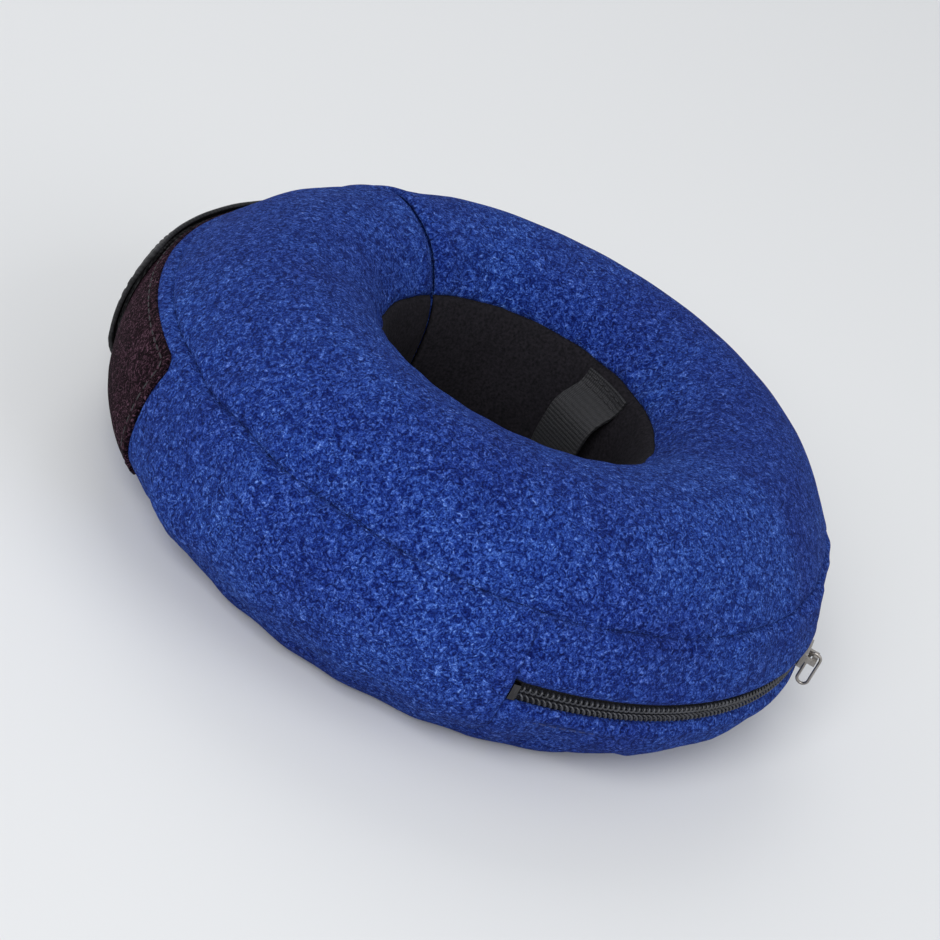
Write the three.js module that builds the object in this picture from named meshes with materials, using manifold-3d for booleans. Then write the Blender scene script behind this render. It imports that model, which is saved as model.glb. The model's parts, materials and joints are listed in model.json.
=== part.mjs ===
// Inflatable ring recovery collar for a small dog: an air bladder in a boxed plush cover.
//
// Frame: millimetres, +Z up the neck axis towards the head. The origin is the centre of the neck
// opening at the plane the collar rests on. The closure gap is at +Y and the zip is around -Y.
// Angles are in degrees about Z, from +X towards +Y.

import * as THREE from 'three';
import { mergeVertices } from 'three/addons/utils/BufferGeometryUtils.js';
import Module from 'manifold-3d';

const wasm = await Module();
wasm.setup();

// ---- Ring ----
const OUTER_R = 88; // outside of the side band at mid height
const NECK_R = 31; // neck opening
const HEIGHT = 63; // resting plane to the crest of the top panel
const BAND_LOW = 8; // lower seam of the side band
const BAND_HIGH = 44; // upper seam of the side band
const FLAT_WIDTH = 16; // flat ring that the collar rests on
const FABRIC = 2; // cover, pile included
const SEAM_GAP = 0.3; // between neighbouring cloth pieces
const CLEARANCE = 0.3; // between pieces laid on each other

// ---- Where the ring is divided ----
const FRONT_HALF = 50; // the front section reaches this far either side of -Y
const GAP_HALF = 1; // half the closure gap

// ---- Zip ----
const ZIP_MIDDLE = -88.5; // angle of the zip's middle
const ZIP_LENGTH = 107.5; // between the two upright joints of the band
const ZIP_Z = (BAND_LOW + BAND_HIGH) / 2;
const SLOT_HALF = 3; // half the open slot in the band
const TAPE_HALF = 9; // half the width of the two tapes together
const TAPE = 0.4;
const SLIDER_LENGTH = 8;
const SLIDER_SIDE_GAP = 0.35; // to the slot's edges
const SLIDER_HALF = SLOT_HALF - SLIDER_SIDE_GAP; // half the slider's height
const SLIDER_PLATE = 1.1; // front plate
const SLIDER_BACK_PLATE = 0.9;
const SLIDER_BACK_GAP = 0.8; // from the tape to the back plate
const SLIDER_BACK_ROOM = 0.2; // from the back plate to the bladder
const SLIDER_FLANGE = 0.35; // side flanges
const SLIDER_FLANGE_LENGTH = 4.8;
const FLANGE_GAP = 0.1; // from the cloth's back out to the flanges' edges
const WEDGE_LENGTH = 3; // wall between the rows, inside the slider's nose
const WEDGE_THICK = 0.4;
const WEDGE_GAP = 0.25; // to each row
const WEDGE_INSET = 0.4;
const TAIL_TAPER = 0.8; // the plates are this much narrower, each side, at the tail
const NOSE_TAPER = 0.5;
const BRIDGE = 1.2; // square bar that the pull hangs on
const BRIDGE_HALF = 2.2; // from its middle to each post
const POST_THICK = 1;
const PULL_WIRE = 0.75;
const PULL_LENGTH = 9.4;
const PULL_PLAY = 0.15; // between the wire and the bridge's corners
const COIL_OUT = 0.5; // coil rows, in from the band's face
const COIL_IN = FABRIC;
const COIL_HALF = SLIDER_HALF - SLIDER_FLANGE - CLEARANCE; // half the height of the two rows
const ROW_GAP = WEDGE_THICK / 2 + WEDGE_GAP; // from the zip's middle line to each row
const STOP_LENGTH = 1.6;

// ---- Bladder ----
const BLADDER_GAP = 0.8; // air space between cover and bladder
const BLADDER_WALL = 1;
const ZIP_DEPTH = CLEARANCE + TAPE + SLIDER_BACK_GAP + SLIDER_BACK_PLATE + SLIDER_BACK_ROOM;
const ZIP_ROOM = ZIP_DEPTH - BLADDER_GAP; // extra space behind the side band

// ---- Closure ----
const TAB_LOW = BAND_LOW + 3;
const TAB_HIGH = BAND_HIGH - 4.5;
const TAB_LENGTH = 77; // free length, from its fold to its tip
const TAB_BASE_LENGTH = 42; // sewn length
const TAB_FOLD = 86; // angle of the fold
const TAB_THICK = 1;
const HOOK_THICK = 0.7;
const PATCH_LOW = BAND_LOW + 1.5;
const PATCH_HIGH = BAND_HIGH - 3;
const PATCH_LENGTH = 104;
const PATCH_START = 98; // angle of the patch's end near the gap
const PATCH_THICK = 0.8;
const TIP_ROUND = 9; // corner radius of the tab's tip
const TAB_NEAR = 0.4; // the tab lies this close to the band where it crosses the gap
const RISE_LEAD = 4; // degrees before the patch at which the tab starts to rise over it
const RISE_ANGLE = 4.5; // degrees that the rise takes
const LAYER_GAP = 0.25; // between band, patch, hooks and tab
const HOOK_MARGIN = 1.5; // the tab reaches this far past the hooks at its sides
const HOOK_TIP_MARGIN = 2;
const HOOK_START = 2; // degrees from the patch's end to the hooks

// ---- Webbing loops in the neck opening ----
const LOOP_WIDTH = 14;
const LOOP_THICK = 1.2;
const LOOP_SLACK = 6; // space between loop and lining
const LOOP_SEWN = 4; // length sewn down at each end
const LOOP_RAMP = 6;
const LOOP_INSET = 2; // from the lining's seams to the loop's ends

// ---- Valve ----
const VALVE_ANGLE = 20;
const STEM_BORE_R = 2.8;
const STEM_WALL = 1.6;
const STEM_R = STEM_BORE_R + STEM_WALL;
const STEM_TRAVEL = 8;
const STEM_PROUD = 1.4; // the stem's rim stands this far off the band at rest
const LIP_R = STEM_R + 1.8;
const LIP_THICK = 0.8;
const STOP_GAP = 0.2; // left between lip and flange when the stem is out
const COLLAR_BORE_R = STEM_R + CLEARANCE;
const COLLAR_R = COLLAR_BORE_R + 1.8;
const COLLAR_PROUD = 1.1; // collar beyond the bladder
const VALVE_FLANGE_R = COLLAR_R + 3.5;
const VALVE_FLANGE = 1;
const FLANGE_DEPTH = 4.2; // from the bladder's inside to the flange, clear of the bladder's curve
const RING_WIDTH = 1.1; // tether ring around the stem
const RING_THICK = 1.2;
const RING_PLACE = 1.1; // from the collar's end to the tether ring
const PLUG_R = STEM_R + 1;
const PLUG_THICK = 1.4;
const PEG_R = STEM_BORE_R - 0.4;
const PEG_LENGTH = 2.5;
const FLAP_R = STEM_BORE_R + 0.8;
const FLAP_THICK = 0.6;
const EYELET_BORE_R = STEM_R + CLEARANCE + RING_WIDTH + 1.45;
const EYELET_R = EYELET_BORE_R + 3.75;
const EYELET_THICK = 1;
const COVER_HOLE_EASE = 0.35; // the cover's hole beyond the eyelet's bore
const BLADDER_HOLE_EASE = 0.4; // the bladder's hole beyond the collar
const CUT_IN = 12; // a cutter through the cover reaches this far in from the band
const CUT_OUT = 5;

const JOIN = 0.2; // overlap of shapes that are joined into one piece
const PANEL_STEPS = 10; // facets along the front panels
const ARM_STEPS = 12; // facets along each arm's panels
const ROUND = 20; // facets around the small round pieces

const rad = THREE.MathUtils.degToRad;
const lerp = THREE.MathUtils.lerp;
const arc = (length, radius = OUTER_R) => THREE.MathUtils.radToDeg(length / radius);
const polar = (r, angle, z) =>
  new THREE.Vector3(r * Math.cos(rad(angle)), r * Math.sin(rad(angle)), z);

// ---- Solids ----

function merged(geometry) {
  const bare = new THREE.BufferGeometry();
  bare.setAttribute('position', geometry.getAttribute('position').clone());
  if (geometry.index) bare.setIndex(geometry.index.clone());
  return mergeVertices(bare, 1e-4);
}

function signedVolume(geometry) {
  const position = geometry.getAttribute('position');
  const corner = [new THREE.Vector3(), new THREE.Vector3(), new THREE.Vector3()];
  let total = 0;
  for (let i = 0; i < geometry.index.count; i += 3) {
    corner.forEach((point, k) => point.fromBufferAttribute(position, geometry.index.getX(i + k)));
    total += corner[0].dot(corner[1].clone().cross(corner[2])) / 6;
  }
  return total;
}

// One closed mesh with its faces pointing out, whichever way it was mapped.
function closed(geometry) {
  const mesh = merged(geometry);
  if (signedVolume(mesh) < 0) mesh.setIndex(Array.from(mesh.index.array).reverse());
  return mesh;
}

function toManifold(geometry) {
  const mesh = closed(geometry);
  return new wasm.Manifold(new wasm.Mesh({
    numProp: 3,
    vertProperties: Float32Array.from(mesh.getAttribute('position').array),
    triVerts: Uint32Array.from(mesh.index.array),
  }));
}

function fromManifold(manifold) {
  const mesh = manifold.getMesh();
  const geometry = new THREE.BufferGeometry();
  geometry.setAttribute('position', new THREE.BufferAttribute(mesh.vertProperties, 3));
  geometry.setIndex(Array.from(mesh.triVerts));
  return geometry;
}

function cut(geometry, ...tools) {
  const result = tools.reduce((left, tool) => left.subtract(toManifold(tool)), toManifold(geometry));
  return fromManifold(result);
}

function join(...pieces) {
  return fromManifold(pieces.map(toManifold).reduce((sum, piece) => sum.add(piece)));
}

const common = (a, b) => fromManifold(toManifold(a).intersect(toManifold(b)));

// A box of facets bent by place(t, v, s): t is 0 or 1 through it, v a row number, s is 0 to 1.
function bend(rows, steps, place) {
  const geometry = new THREE.BoxGeometry(1, 1, 1, 1, rows, steps);
  const position = geometry.getAttribute('position');
  for (let i = 0; i < position.count; i++) {
    const v = Math.round((position.getY(i) + 0.5) * rows);
    const point = place(position.getX(i) + 0.5, v, position.getZ(i) + 0.5);
    position.setXYZ(i, point.x, point.y, point.z);
  }
  return closed(geometry);
}

// A closed outline of [r, z] points carried round Z through a list of angles.
function sweep(outline, angles) {
  const shape = new THREE.Shape(outline);
  const steps = angles.length - 1;
  const geometry = new THREE.ExtrudeGeometry(shape, { depth: 1, steps, bevelEnabled: false });
  const position = geometry.getAttribute('position');
  for (let i = 0; i < position.count; i++) {
    const angle = angles[Math.round(position.getZ(i) * steps)];
    const point = polar(position.getX(i), angle, position.getY(i));
    position.setXYZ(i, point.x, point.y, point.z);
  }
  return closed(geometry);
}

// A flat outline pushed along +Z.
function slab(points, depth) {
  const shape = new THREE.Shape(points.map(([x, y]) => new THREE.Vector2(x, y)));
  return new THREE.ExtrudeGeometry(shape, { depth, bevelEnabled: false });
}

const block = (x0, x1, y0, y1, z0, z1) =>
  new THREE.BoxGeometry(x1 - x0, y1 - y0, z1 - z0)
    .translate((x0 + x1) / 2, (y0 + y1) / 2, (z0 + z1) / 2);

// A turned piece about local X, from [radius, x] points that close on themselves.
function turned(profile) {
  const points = [...profile, profile[0]].map(([r, x]) => new THREE.Vector2(r, x));
  return closed(new THREE.LatheGeometry(points, ROUND).rotateZ(-Math.PI / 2));
}

// A rod about local X.
const rod = (radius, x0, x1) =>
  new THREE.CylinderGeometry(radius, radius, x1 - x0, ROUND)
    .rotateZ(-Math.PI / 2)
    .translate((x0 + x1) / 2, 0, 0);

// ---- Cross-section of the ring, clockwise from the top of the neck opening ----

const curve = (points, pieces) =>
  new THREE.SplineCurve(points.map(([r, z]) => new THREE.Vector2(r, z))).getPoints(pieces);
const MIDDLE_R = (OUTER_R + NECK_R) / 2;
const NECK_TOP = [NECK_R + 3, HEIGHT - 13];
const UPPER_SEAM = [OUTER_R - 5, BAND_HIGH];
const LOWER_SEAM = [OUTER_R - 9, BAND_LOW];
const NECK_BOTTOM = [NECK_R + 3, BAND_LOW + 4];

const TOP_LINE = curve([
  NECK_TOP, [NECK_R + 12, HEIGHT - 3.5], [MIDDLE_R - 1.5, HEIGHT],
  [OUTER_R - 16, HEIGHT - 6.5], UPPER_SEAM,
], 8);
const BAND_LINE = curve([
  UPPER_SEAM, [OUTER_R - 1.3, BAND_HIGH - 8], [OUTER_R, ZIP_Z],
  [OUTER_R - 1.7, BAND_LOW + 7.5], LOWER_SEAM,
], 8);
const BOTTOM_LINE = [
  LOWER_SEAM, [OUTER_R - 15, BAND_LOW - 5.2], [MIDDLE_R + FLAT_WIDTH / 2, 0],
  [MIDDLE_R - FLAT_WIDTH / 2, 0], [NECK_R + 11.5, BAND_LOW - 4.8], [NECK_R + 6.5, BAND_LOW - 1],
  NECK_BOTTOM,
].map(([r, z]) => new THREE.Vector2(r, z));
const NECK_LINE = [
  NECK_BOTTOM, [NECK_R, BAND_LOW + 14], [NECK_R, HEIGHT - 23], NECK_TOP,
].map(([r, z]) => new THREE.Vector2(r, z));

const SECTION = [
  ...TOP_LINE, ...BAND_LINE.slice(1), ...BOTTOM_LINE.slice(1), ...NECK_LINE.slice(1, -1),
];
const BAND_START = TOP_LINE.length - 1;
const BOTTOM_START = BAND_START + BAND_LINE.length - 1;
const NECK_START = BOTTOM_START + BOTTOM_LINE.length - 1;
const SECTION_END = NECK_START + NECK_LINE.length - 1;

const corner = (i) => SECTION[((i % SECTION_END) + SECTION_END) % SECTION_END];

// The outward mitre at a corner: moving d along it moves both neighbouring sides out by d.
function mitre(i) {
  const normals = [[corner(i - 1), corner(i)], [corner(i), corner(i + 1)]].map(([a, b]) =>
    new THREE.Vector2(a.y - b.y, b.x - a.x).normalize());
  return normals[0].clone().add(normals[1]).divideScalar(1 + normals[0].dot(normals[1]));
}

// A point at a whole or part index along the section, moved out by offset.
function onSection(index, offset = 0) {
  const i = Math.floor(index);
  const point = corner(i).clone().lerp(corner(i + 1), index - i);
  return point.addScaledVector(mitre(i).lerp(mitre(i + 1), index - i), offset);
}

// The index that lies a distance along the section from a whole index.
function indexBy(index, distance) {
  const length = corner(index).distanceTo(corner(index + Math.sign(distance)));
  return index + distance / length;
}

function bandIndex(z) {
  let i = BAND_START;
  while (corner(i + 1).y > z) i += 1;
  return i + (corner(i).y - z) / (corner(i).y - corner(i + 1).y);
}

// Every corner between two indices, with the two ends.
function indices(from, to) {
  const inside = [];
  for (let i = Math.floor(from) + 1; i < to - 0.01; i++) if (i > from + 0.01) inside.push(i);
  return [from, ...inside, to];
}

// Cloth that follows the section from one index to another, and the ring between two angles.
// inside and outside are its offsets from the section, each a number or a function of the angle.
function cloth(from, to, inside, outside, start, end, steps) {
  const rows = indices(from, to);
  const offsets = [inside, outside].map((value) => (typeof value === 'function' ? value : () => value));
  return bend(rows.length - 1, steps, (t, v, s) => {
    const angle = lerp(start, end, s);
    const point = onSection(rows[v], offsets[Math.round(t)](angle));
    return polar(point.x, angle, point.y);
  });
}

const panel = (from, to, start, end, steps) =>
  cloth(indexBy(from, SEAM_GAP / 2), indexBy(to, -SEAM_GAP / 2), -FABRIC, 0, start, end, steps);

// A strip on the side band between two heights.
const onBand = (low, high, inside, outside, start, end, steps) =>
  cloth(bandIndex(high), bandIndex(low), inside, outside, start, end, steps);

// ---- Angles of the three sections of the ring ----

const DIVIDE_GAP = arc(SEAM_GAP / 2, NECK_R);
const FRONT = [-90 - FRONT_HALF + DIVIDE_GAP, -90 + FRONT_HALF - DIVIDE_GAP];
const RIGHT = [-90 + FRONT_HALF + DIVIDE_GAP, 90 - GAP_HALF];
const LEFT = [90 + GAP_HALF, 270 - FRONT_HALF - DIVIDE_GAP];

// ---- Materials ----

const finish = (color, roughness, metalness = 0) =>
  new THREE.MeshStandardMaterial({ color, roughness, metalness });
const PLUSH = finish(0x24449a, 0.95);
const LINING = finish(0x1c181f, 0.9);
const WEBBING = finish(0x141316, 0.8);
const HOOKS = finish(0x1f1c20, 0.7);
const VINYL = finish(0xc9d2d6, 0.35);
const TAPE_CLOTH = finish(0x17171c, 0.85);
const COIL = finish(0x2b2c33, 0.4);
const METAL = finish(0x6e675f, 0.35, 0.9);
const VALVE_PLASTIC = finish(0xdfe5e8, 0.3);
const EYELET_PLASTIC = finish(0x202126, 0.5);

const collar = new THREE.Group();

function add(name, geometry, material, angle = 0, z = 0) {
  const mesh = new THREE.Mesh(geometry, material);
  mesh.name = name;
  mesh.rotation.z = rad(angle);
  mesh.position.z = z;
  collar.add(mesh);
}

// ---- Cover ----

function addPanels(name, [start, end], steps) {
  add(`top_panel_${name}`, panel(0, BAND_START, start, end, steps), PLUSH);
  add(`bottom_panel_${name}`, panel(BOTTOM_START, NECK_START, start, end, steps), PLUSH);
  add(`neck_lining_${name}`, panel(NECK_START, SECTION_END, start, end, steps), LINING);
}

// A flat panel that closes the cover's end. It lies inside the mouth, flush with it, and reaches
// back from the ring's end towards `side` (+1 for the left arm, -1 for the right one).
function addEndPanel(name, angle, side) {
  const outline = SECTION.map((_, i) => onSection(i, -FABRIC - CLEARANCE)).map((p) => [p.x, p.y]);
  const plate = slab(outline, FABRIC).rotateX(Math.PI / 2);
  if (side > 0) plate.translate(0, FABRIC, 0);
  add(name, closed(plate), PLUSH, angle);
}

// Half the angle that the zip takes between the band's two upright joints.
const ZIP_HALF = arc(ZIP_LENGTH / 2);
const JOINT_GAP = arc(SEAM_GAP / 2);
const ZIP_SPAN = [ZIP_MIDDLE - ZIP_HALF + JOINT_GAP, ZIP_MIDDLE + ZIP_HALF - JOINT_GAP];
const ZIP_STEPS = 14;

function addFrontBand() {
  const top = indexBy(BAND_START, SEAM_GAP / 2);
  const bottom = indexBy(BOTTOM_START, -SEAM_GAP / 2);
  const slotTop = bandIndex(ZIP_Z + SLOT_HALF);
  const slotBottom = bandIndex(ZIP_Z - SLOT_HALF);
  add('band_zip_upper', cloth(top, slotTop, -FABRIC, 0, ...ZIP_SPAN, ZIP_STEPS), PLUSH);
  add('band_zip_lower', cloth(slotBottom, bottom, -FABRIC, 0, ...ZIP_SPAN, ZIP_STEPS), PLUSH);
  const left = [FRONT[0], ZIP_MIDDLE - ZIP_HALF - JOINT_GAP];
  const right = [ZIP_MIDDLE + ZIP_HALF + JOINT_GAP, FRONT[1]];
  add('band_front_left', panel(BAND_START, BOTTOM_START, ...left, 3), PLUSH);
  add('band_front_right', panel(BAND_START, BOTTOM_START, ...right, 3), PLUSH);
}

function addArmBands() {
  const band = ([start, end]) => panel(BAND_START, BOTTOM_START, start, end, 2 * ARM_STEPS);
  add('band_left', band(LEFT), PLUSH);
  const hole = throughCover(EYELET_BORE_R + COVER_HOLE_EASE);
  add('band_right', cut(band(RIGHT), hole), PLUSH);
}

// ---- Bladder ----

function bladderOutline(inset) {
  return SECTION.map((_, i) => {
    const behindBand = i > BAND_START && i < BOTTOM_START;
    return onSection(i, -FABRIC - BLADDER_GAP - inset - (behindBand ? ZIP_ROOM : 0));
  });
}

const BLADDER_FACE = OUTER_R - FABRIC - BLADDER_GAP - ZIP_ROOM;
const BLADDER_END = arc(FABRIC + BLADDER_GAP, NECK_R + FABRIC + BLADDER_GAP);
const WALL_ANGLE = arc(BLADDER_WALL, NECK_R + FABRIC + BLADDER_GAP);

function anglesBetween(start, end, steps) {
  return Array.from({ length: steps + 1 }, (_, i) => lerp(start, end, i / steps));
}

// A length of the bladder: a tube that is open where the ring is divided and closed at the gap.
function bladder([start, end], steps, startShift, endShift) {
  const angles = anglesBetween(start, end, steps);
  const hollow = [angles[0] + startShift, ...angles.slice(1, -1), angles[steps] + endShift];
  return cut(sweep(bladderOutline(0), angles), sweep(bladderOutline(BLADDER_WALL), hollow));
}

function addBladder() {
  const beyond = 1;
  const left = [LEFT[0] + BLADDER_END, LEFT[1]];
  const right = [RIGHT[0], RIGHT[1] - BLADDER_END];
  add('bladder_front', bladder(FRONT, 8, -beyond, beyond), VINYL);
  add('bladder_left', bladder(left, 10, WALL_ANGLE, beyond), VINYL);
  const hole = throughCover(COLLAR_R + BLADDER_HOLE_EASE);
  add('bladder_right', cut(bladder(right, 10, -beyond, -WALL_ANGLE), hole), VINYL);
}

// ---- Zip ----

function addZipRows() {
  const tape = (low, high) =>
    onBand(low, high, -FABRIC - CLEARANCE - TAPE, -FABRIC - CLEARANCE, ...ZIP_SPAN, ZIP_STEPS);
  add('zip_tape_upper', tape(ZIP_Z + ROW_GAP, ZIP_Z + TAPE_HALF), TAPE_CLOTH);
  add('zip_tape_lower', tape(ZIP_Z - TAPE_HALF, ZIP_Z - ROW_GAP), TAPE_CLOTH);
  const stop = arc(STOP_LENGTH + CLEARANCE);
  const span = [ZIP_SPAN[0] + stop, ZIP_SPAN[1] - stop];
  const row = (low, high) => onBand(low, high, -COIL_IN, -COIL_OUT, ...span, ZIP_STEPS);
  add('zip_teeth_upper', row(ZIP_Z + ROW_GAP, ZIP_Z + COIL_HALF), COIL);
  add('zip_teeth_lower', row(ZIP_Z - COIL_HALF, ZIP_Z - ROW_GAP), COIL);
  const stopAt = (start, end) =>
    onBand(ZIP_Z - COIL_HALF, ZIP_Z + COIL_HALF, -COIL_IN, -COIL_OUT, start, end, 1);
  add('zip_stop_left', stopAt(ZIP_SPAN[0], ZIP_SPAN[0] + arc(STOP_LENGTH)), METAL);
  add('zip_stop_right', stopAt(ZIP_SPAN[1] - arc(STOP_LENGTH), ZIP_SPAN[1]), METAL);
}

// The slider rests at the right end of the zip, just short of the stop.
const SLIDER_ANGLE = ZIP_SPAN[1] - arc(STOP_LENGTH + 2 * CLEARANCE + SLIDER_LENGTH / 2);
const SLIDER_FACE = OUTER_R - COIL_OUT + CLEARANCE; // back of the front plate
const SLIDER_TOP = SLIDER_FACE + SLIDER_PLATE;
const PULL_INNER = BRIDGE * Math.SQRT1_2 + PULL_PLAY;
const PULL_AXIS = SLIDER_TOP + PULL_INNER + PULL_WIRE + CLEARANCE;

// Local X is out from the zip, Y along it and Z up.
function sliderGeometry() {
  const long = SLIDER_LENGTH / 2;
  const tail = SLIDER_HALF - TAIL_TAPER;
  const nose = SLIDER_HALF - NOSE_TAPER;
  const shield = [
    [-long, -tail], [0, -SLIDER_HALF], [long, -nose], [long, nose], [0, SLIDER_HALF], [-long, tail],
  ];
  const plate = (thickness, x) =>
    slab(shield, thickness).rotateX(Math.PI / 2).rotateZ(Math.PI / 2).translate(x, 0, 0);
  const back = OUTER_R - FABRIC - CLEARANCE - TAPE - SLIDER_BACK_GAP;
  const flange = (low) => block(
    OUTER_R - FABRIC + FLANGE_GAP, SLIDER_FACE + JOIN,
    -SLIDER_FLANGE_LENGTH / 2, SLIDER_FLANGE_LENGTH / 2, low, low + SLIDER_FLANGE,
  );
  const wedgeEnd = long - WEDGE_INSET;
  const wedge = block(
    back - JOIN, SLIDER_FACE + JOIN, wedgeEnd - WEDGE_LENGTH, wedgeEnd,
    -WEDGE_THICK / 2, WEDGE_THICK / 2,
  );
  const post = (y) => block(
    SLIDER_TOP - JOIN, PULL_AXIS + BRIDGE / 2, y - POST_THICK / 2, y + POST_THICK / 2,
    -BRIDGE / 2, BRIDGE / 2,
  );
  const bridge = block(
    PULL_AXIS - BRIDGE / 2, PULL_AXIS + BRIDGE / 2, -BRIDGE_HALF, BRIDGE_HALF,
    -BRIDGE / 2, BRIDGE / 2,
  );
  return join(
    plate(SLIDER_PLATE, SLIDER_FACE), plate(SLIDER_BACK_PLATE, back - SLIDER_BACK_PLATE),
    flange(SLIDER_HALF - SLIDER_FLANGE), flange(-SLIDER_HALF), wedge,
    post(-BRIDGE_HALF), post(BRIDGE_HALF), bridge,
  );
}

// A long wire loop around the slider's bridge, hanging down it.
function pullGeometry() {
  const middle = PULL_INNER + PULL_WIRE / 2;
  const drop = PULL_LENGTH - 2 * (middle + PULL_WIRE / 2);
  const path = new THREE.CurvePath();
  const arcAbout = (z, from, to) => {
    const points = anglesBetween(from, to, 8).map((a) =>
      new THREE.Vector3(PULL_AXIS + middle * Math.cos(rad(a)), 0, z + middle * Math.sin(rad(a))));
    points.slice(1).forEach((point, i) => path.add(new THREE.LineCurve3(points[i], point)));
  };
  arcAbout(0, 0, 180);
  path.add(new THREE.LineCurve3(
    new THREE.Vector3(PULL_AXIS - middle, 0, 0), new THREE.Vector3(PULL_AXIS - middle, 0, -drop),
  ));
  arcAbout(-drop, 180, 360);
  path.add(new THREE.LineCurve3(
    new THREE.Vector3(PULL_AXIS + middle, 0, -drop), new THREE.Vector3(PULL_AXIS + middle, 0, 0),
  ));
  return wireLoop(path.curves.map((line) => line.v1), PULL_WIRE / 2);
}

// A closed wire through points that lie in the local XZ plane.
function wireLoop(points, radius) {
  const sides = 8;
  const ring = points.length;
  const centre = points.reduce((sum, p) => sum.add(p), new THREE.Vector3()).divideScalar(ring);
  const vertices = [];
  points.forEach((point, i) => {
    const before = points[(i + ring - 1) % ring];
    const after = points[(i + 1) % ring];
    const along = after.clone().sub(before).normalize();
    const out = new THREE.Vector3(along.z, 0, -along.x);
    if (out.dot(point.clone().sub(centre)) < 0) out.negate();
    for (let k = 0; k < sides; k++) {
      const a = (2 * Math.PI * k) / sides;
      const p = point.clone().addScaledVector(out, radius * Math.cos(a));
      vertices.push(p.x, p.y + radius * Math.sin(a), p.z);
    }
  });
  const faces = [];
  for (let i = 0; i < ring; i++) {
    for (let k = 0; k < sides; k++) {
      const a = i * sides + k;
      const b = i * sides + ((k + 1) % sides);
      const c = ((i + 1) % ring) * sides + k;
      const d = ((i + 1) % ring) * sides + ((k + 1) % sides);
      faces.push(a, b, c, b, d, c);
    }
  }
  const geometry = new THREE.BufferGeometry();
  geometry.setAttribute('position', new THREE.Float32BufferAttribute(vertices, 3));
  geometry.setIndex(faces);
  return closed(geometry);
}

function addSlider() {
  add('zip_slider', sliderGeometry(), METAL, SLIDER_ANGLE, ZIP_Z);
  add('zip_pull', pullGeometry(), METAL, SLIDER_ANGLE, ZIP_Z);
}

// ---- Closure ----

const PATCH_TOP = LAYER_GAP + PATCH_THICK;
const HOOK_LOW = PATCH_TOP + LAYER_GAP;
const TAB_RAISED = HOOK_LOW + HOOK_THICK + LAYER_GAP;

// Underside of the tab above the band: low over the gap, then up over the patch.
function tabUnderside(angle) {
  const rise = (angle - (PATCH_START - RISE_LEAD)) / RISE_ANGLE;
  return lerp(TAB_NEAR, TAB_RAISED, THREE.MathUtils.smoothstep(rise, 0, 1));
}

// A block with rounded corners at one end, that spreads straight out from the Z axis.
function tipTool(start, end, low, high, round) {
  const reach = (end - start) * rad(1) * OUTER_R;
  const shape = new THREE.Shape();
  shape.moveTo(-1, low);
  shape.lineTo(reach - round, low);
  shape.absarc(reach - round, low + round, round, -Math.PI / 2, 0, false);
  shape.absarc(reach - round, high - round, round, 0, Math.PI / 2, false);
  shape.lineTo(-1, high);
  const geometry = new THREE.ExtrudeGeometry(shape, { depth: 1, bevelEnabled: false, curveSegments: 4 });
  const position = geometry.getAttribute('position');
  for (let i = 0; i < position.count; i++) {
    const r = lerp(OUTER_R * 0.6, OUTER_R * 1.6, position.getZ(i));
    const point = polar(r, start + arc(position.getX(i)), position.getY(i));
    position.setXYZ(i, point.x, point.y, point.z);
  }
  return closed(geometry);
}

function addClosure() {
  const baseStart = TAB_FOLD - arc(TAB_BASE_LENGTH);
  const foldGap = arc(CLEARANCE);
  const top = (angle) => tabUnderside(angle) + TAB_THICK;
  add('closure_tab_base', onBand(
    TAB_LOW, TAB_HIGH, TAB_NEAR, top, baseStart, TAB_FOLD - foldGap, 8,
  ), WEBBING);
  const tabEnd = TAB_FOLD + arc(TAB_LENGTH);
  const strip = onBand(TAB_LOW, TAB_HIGH, tabUnderside, top, TAB_FOLD + foldGap, tabEnd, 20);
  add('closure_tab', common(strip, tipTool(TAB_FOLD, tabEnd, TAB_LOW, TAB_HIGH, TIP_ROUND)), WEBBING);
  const hookEnd = tabEnd - arc(HOOK_TIP_MARGIN);
  const hookLow = TAB_LOW + HOOK_MARGIN;
  const hookHigh = TAB_HIGH - HOOK_MARGIN;
  const hooks = onBand(
    hookLow, hookHigh, HOOK_LOW, HOOK_LOW + HOOK_THICK, PATCH_START + HOOK_START, hookEnd, 12,
  );
  const tip = tipTool(PATCH_START, hookEnd, hookLow, hookHigh, TIP_ROUND - HOOK_MARGIN);
  add('closure_hook_pad', common(hooks, tip), HOOKS);
  add('closure_loop_patch', onBand(
    PATCH_LOW, PATCH_HIGH, PATCH_TOP - PATCH_THICK, PATCH_TOP,
    PATCH_START, PATCH_START + arc(PATCH_LENGTH), 14,
  ), HOOKS);
}

// ---- Webbing loops ----

// Radius of the lining's face at a height.
function liningR(z) {
  let i = NECK_START;
  while (corner(i + 1).y < z) i += 1;
  return lerp(corner(i).x, corner(i + 1).x, (z - corner(i).y) / (corner(i + 1).y - corner(i).y));
}

// A strap sewn to the lining at both ends and standing off it between them.
// Its ends follow the lining's curve, and its middle is flat.
function addLoop(name, angle) {
  const low = NECK_BOTTOM[1] + LOOP_INSET;
  const high = NECK_TOP[1] - LOOP_INSET;
  const stand = NECK_R - LOOP_SLACK - LOOP_THICK / 2;
  const sewn = (z) => [liningR(z) - CLEARANCE - LOOP_THICK / 2, z, 1];
  const line = [
    sewn(low), sewn(low + LOOP_SEWN), [stand, low + LOOP_SEWN + LOOP_RAMP, 0],
    [stand, high - LOOP_SEWN - LOOP_RAMP, 0], sewn(high - LOOP_SEWN), sewn(high),
  ];
  const strap = bend(line.length - 1, 4, (t, v, s) => {
    const y = (s - 0.5) * LOOP_WIDTH;
    const [r, z, follows] = line[v];
    const sag = (NECK_R - Math.sqrt(NECK_R ** 2 - y ** 2)) * follows;
    return new THREE.Vector3(r - sag + (t - 0.5) * LOOP_THICK, y, z);
  });
  add(name, strap, WEBBING, angle);
}

// ---- Valve ----

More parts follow.
